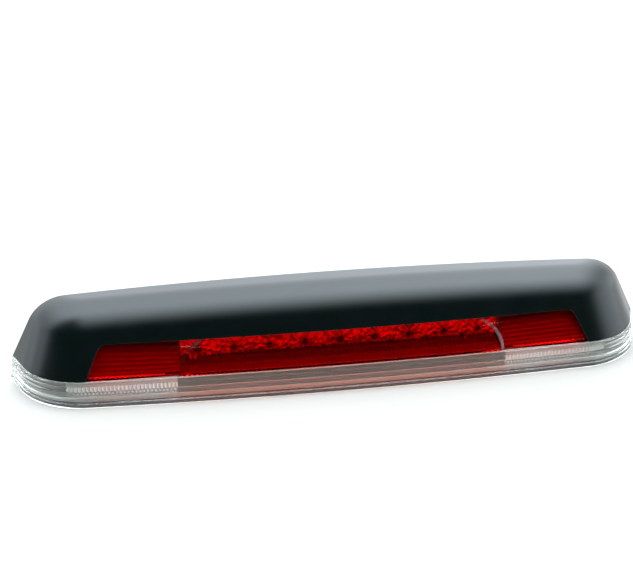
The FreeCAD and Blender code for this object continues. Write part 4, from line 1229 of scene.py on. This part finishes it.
# ------------------------------------------------------------------ softened copies of plain CAD pieces
# the body each piece moves with, where that isn't the lamp
BODY_OF = {
    "socket_left": "left_socket", "socket_seal_left": "left_socket",
    "contacts_left": "left_socket", "socket_right": "right_socket",
    "socket_seal_right": "right_socket", "contacts_right": "right_socket",
    "terminal_lock": "terminal_lock",
}

# CAD node, name of the copy, material, slot, bevel width
SOFTENED = [
    ("back_housing", "housing_shell", "housing", "housing_plastic", 0.35),
    ("gasket", "gasket_ring", "foam", "foam", 0.7),
    ("socket_left", "socket_body_left", "socket", "socket_plastic", 0.4),
    ("socket_right", "socket_body_right", "socket", "socket_plastic", 0.4),
    ("connector_plug", "plug_shell", "connector", "connector_plastic", 0.25),
    ("vent_cap", "vent_cover", "rubber", "seal_rubber", 0.35),
    ("cable_grommet", "grommet", "rubber", "seal_rubber", 0.35),
    ("housing_screws", "housing_screw_heads", "steel", "steel", 0.12),
    ("terminal_lock", "lock_slide", "lock", "lock_plastic", 0.12),
    ("led_board", "board_plate", "board", "board", 0.08),
    ("board_driver", "driver_block", "component", "component", 0.15),
    ("board_header", "header_block", "connector", "connector_plastic", 0.15),
    ("board_resistors", "resistor_row", "component", "component", 0.05),
    ("board_screws", "board_screw_set", "steel", "steel", 0.10),
    ("cargo_reflector_left", "cargo_bowl_left", "metallised", "metallised", 0.30),
    ("cargo_reflector_right", "cargo_bowl_right", "metallised", "metallised", 0.30),
    ("reflector_screws_left", "bowl_screws_left", "steel", "steel", 0.10),
    ("reflector_screws_right", "bowl_screws_right", "steel", "steel", 0.10),
    ("socket_seal_left", "seal_ring_left", "rubber", "seal_rubber", 0.20),
    ("socket_seal_right", "seal_ring_right", "rubber", "seal_rubber", 0.20),
    ("contacts_left", "contact_pair_left", "brass", "brass", 0.05),
    ("contacts_right", "contact_pair_right", "brass", "brass", 0.05),
    ("connector_terminals", "terminal_set", "brass", "brass", 0.05),
    ("harness_sleeve", "sleeve_tube", "sleeve", "sleeve", 0.20),
]


def cad_copy(node, name):
    """A copy of the CAD node's mesh in the shared frame, with flat areas joined up."""
    source = NODES[node]
    mesh = source.data.copy()
    mesh.name = name
    mesh.materials.clear()
    mesh.transform(source.matrix_world)
    ob = link_object(name, mesh)
    bm = bmesh.new()
    bm.from_mesh(mesh)
    bmesh.ops.remove_doubles(bm, verts=bm.verts, dist=1e-6)
    bmesh.ops.dissolve_limit(bm, angle_limit=math.radians(0.6), verts=bm.verts, edges=bm.edges)
    bmesh.ops.recalc_face_normals(bm, faces=bm.faces)
    bm.to_mesh(mesh)
    bm.free()
    return ob


for node, name, material, slot, width in SOFTENED:
    softened = cad_copy(node, name)
    bevel(softened, width, 2, 38.0)
    piece(softened, material, [node], BODY_OF.get(node, "lamp"))


# ------------------------------------------------------------------ wires, one object for each core
def face_islands(mesh):
    """Sets of indices of connected faces, in order of their lowest index."""
    bm = bmesh.new()
    bm.from_mesh(mesh)
    bm.faces.ensure_lookup_table()
    seen, islands = set(), []
    for start in range(len(bm.faces)):
        if start in seen:
            continue
        stack, island = [start], set()
        while stack:
            index = stack.pop()
            if index in island:
                continue
            island.add(index)
            for edge in bm.faces[index].edges:
                stack += [f.index for f in edge.link_faces if f.index not in island]
        seen |= island
        islands.append(island)
    bm.free()
    return islands


def make_wires(node, label, materials):
    whole = cad_copy(node, label)
    for k, island in enumerate(face_islands(whole.data)):
        mesh = whole.data.copy()
        bm = bmesh.new()
        bm.from_mesh(mesh)
        others = [face for face in bm.faces if face.index not in island]
        bmesh.ops.delete(bm, geom=others, context="FACES")
        bm.to_mesh(mesh)
        bm.free()
        core = link_object("%s_%d" % (label, k + 1), mesh)
        shade(core, 60.0)
        piece(core, materials[k % len(materials)], [node] if k == 0 else ())
    bpy.data.objects.remove(whole)


make_wires("wires_left", "core_left", ["wire_black", "wire_blue"])
make_wires("wires_right", "core_right", ["wire_black", "wire_blue"])
make_wires("wires_board", "core_board", ["wire_black", "wire_brown"])

# ------------------------------------------------------------------ studs
STUD_X, STUD_Z = 180.0, 30.0
STUD_RADIUS = 2.5
STUD_STEPS = 40
THREAD_PITCH, THREAD_DEPTH = 0.8, 0.32


def stud(centre_x):
    """Head, collar and shank along y, with an M5 thread on the shank."""
    # radius, y, share of the full thread depth
    profile = [
        (0.0001, -9.4, 0), (4.8, -9.4, 0), (5.0, -9.2, 0), (5.0, -7.4, 0), (4.8, -7.2, 0),
        (3.2, -7.2, 0), (3.2, -3.2, 0), (3.05, -3.0, 0), (STUD_RADIUS, -3.0, 0),
        (STUD_RADIUS, 1.0, 0),
    ]
    y = 1.1
    while y < 17.75:
        profile.append((STUD_RADIUS, y, min(1.0, (y - 1.0) / 0.8, (17.9 - y) / 0.5)))
        y += 0.1
    profile += [(STUD_RADIUS, 17.95, 0), (1.72, 18.9, 0), (0.0001, 18.9, 0)]
    verts = []
    for k in range(STUD_STEPS):
        angle = 2 * math.pi * k / STUD_STEPS
        for radius, y, share in profile:
            phase = (y / THREAD_PITCH + k / STUD_STEPS) % 1.0
            r = radius - THREAD_DEPTH * share * (1 - abs(2 * phase - 1))
            verts.append((centre_x + r * math.cos(angle), y, STUD_Z + r * math.sin(angle)))
    return verts, turned_faces(STUD_STEPS, len(profile))


studs = Build().add(stud(-STUD_X)).add(stud(STUD_X)).make("stud_pair", 40.0)
piece(studs, "steel", ["studs"])

# ------------------------------------------------------------------ materials of the CAD nodes themselves
CAD_MATERIALS = {node: material for node, _, material, _, _ in SOFTENED}
CAD_MATERIALS.update(studs="steel", wires_left="wire_black", wires_right="wire_black",
                     wires_board="wire_brown")
for node, material in CAD_MATERIALS.items():
    source = NODES[node]
    if not source.material_slots:
        source.data.materials.append(MATERIALS[material])
    for material_slot in source.material_slots:
        material_slot.material = MATERIALS[material]


# ------------------------------------------------------------------ floor
def make_floor():
    z = DROP * 1e-3 - 0.0001  # metres, just under the lens
    half = 6.0
    mesh = bpy.data.meshes.new("floor")
    corners = [(-half, -half, z), (half, -half, z), (half, half, z), (-half, half, z)]
    mesh.from_pydata(corners, [], [(0, 1, 2, 3)])
    ob = link_object("floor", mesh)
    material, tree, shader = new_material("floor_white")
    feed(tree, shader, {"Base Color": (0.392, 0.394, 0.364, 1), "Roughness": 0.9,
                        "Specular IOR Level": 0.1})
    give(ob, material)


make_floor()

# ------------------------------------------------------------------ surrounding light
BACK_LIGHT = 3.55  # strength at the back horizon
TOP_LIGHT = 6.6  # strength overhead
SIDE_DROP = 0.70  # share lost towards the sides
LEFT_SHADE = 0.93  # share lost at the front left
RIGHT_LIGHT = 2.4
LEFT_LIGHT = 2.3
DARK_LIGHT = 0.004  # everywhere
CAMERA_SURROUND = 1.12  # what the camera sees past the floor's edge
LIGHT_COLOUR = (0.92, 0.96, 1.03, 1)


def make_world():
    world = bpy.data.worlds.new("studio")
    bpy.context.scene.world = world
    world.use_nodes = True
    tree = world.node_tree
    tree.nodes.clear()

    def calc(operation, *operands):
        return math_node(tree, operation, *operands)

    def step(value, start, stop):
        return remap(tree, value, 0.0, 1.0, start, stop, interpolation_type="SMOOTHSTEP")

    direction = add_node(tree, "TexCoord").outputs["Generated"]
    x, y, z = add_node(tree, "SeparateXYZ", {0: direction}).outputs
    minus_x = calc("MULTIPLY", x, -1.0)
    minus_x_shade = calc("MULTIPLY", x, -1.0)

    # a sheet of light; its angle runs from the back horizon over the top to the front
    angle = calc("ARCTAN2", z, y)
    gain = calc("MULTIPLY", step(angle, 0.55, 1.55), TOP_LIGHT - BACK_LIGHT)
    rise = calc("ADD", BACK_LIGHT, gain)
    fall = step(calc("MULTIPLY", angle, -1.0), -2.50, -1.50)
    sideways = calc("MAXIMUM", x, calc("MULTIPLY", x, -0.72))
    narrow = calc("SUBTRACT", 1.0, calc("MULTIPLY", step(sideways, 0.35, 0.85), SIDE_DROP))
    above = step(z, -0.05, 0.05)
    lean = calc("ADD", 1.0, calc("MULTIPLY", x, 0.30))
    sheet = calc("MULTIPLY", rise, lean)
    for factor in (fall, narrow, above):
        sheet = calc("MULTIPLY", sheet, factor)
    front = step(calc("MULTIPLY", y, -1.0), 0.06, 0.30)
    front_left = calc("MULTIPLY", step(minus_x_shade, 0.20, 0.50), front)
    kept = calc("SUBTRACT", 1.0, calc("MULTIPLY", front_left, LEFT_SHADE))
    sheet = calc("MULTIPLY", sheet, kept)

    right = calc("MULTIPLY", step(x, 0.68, 0.96), RIGHT_LIGHT)
    left = calc("MULTIPLY", step(minus_x, 0.62, 0.95), step(y, -0.05, 0.30))
    left = calc("MULTIPLY", left, LEFT_LIGHT)
    total = calc("MAXIMUM", sheet, calc("MAXIMUM", right, left))
    total = calc("ADD", total, DARK_LIGHT)

    # the camera itself sees a plain white surround
    seen = add_node(tree, "LightPath").outputs["Is Camera Ray"]
    total = calc("ADD", calc("MULTIPLY", total, calc("SUBTRACT", 1.0, seen)),
                 calc("MULTIPLY", seen, CAMERA_SURROUND))
    background = add_node(tree, "Background", {"Color": LIGHT_COLOUR, "Strength": total})
    add_node(tree, "OutputWorld", {0: background.outputs[0]})


make_world()

# ------------------------------------------------------------------ camera
CAMERA_PLACE = (-0.1352, -0.7504, 0.3840)  # metres
CAMERA_VIEW = (0.14736, 0.89206, -0.42722)
CAMERA_RIGHT = (0.98663, -0.16298, 0.0)


def make_camera():
    data = bpy.data.cameras.new("camera")
    camera = link_object("camera", data)
    bpy.context.scene.camera = camera
    view = Vector(CAMERA_VIEW).normalized()
    right = Vector(CAMERA_RIGHT).normalized()
    up = right.cross(view).normalized()
    rows = [(right[k], up[k], -view[k], CAMERA_PLACE[k]) for k in range(3)]
    camera.matrix_world = Matrix((*rows, (0, 0, 0, 1)))
    data.sensor_width = 36.0
    data.lens = 70.60
    data.clip_start = 0.01
    data.clip_end = 50.0


make_camera()
bpy.context.scene.view_settings.view_transform = "Standard"
bpy.context.scene.view_settings.look = "None"
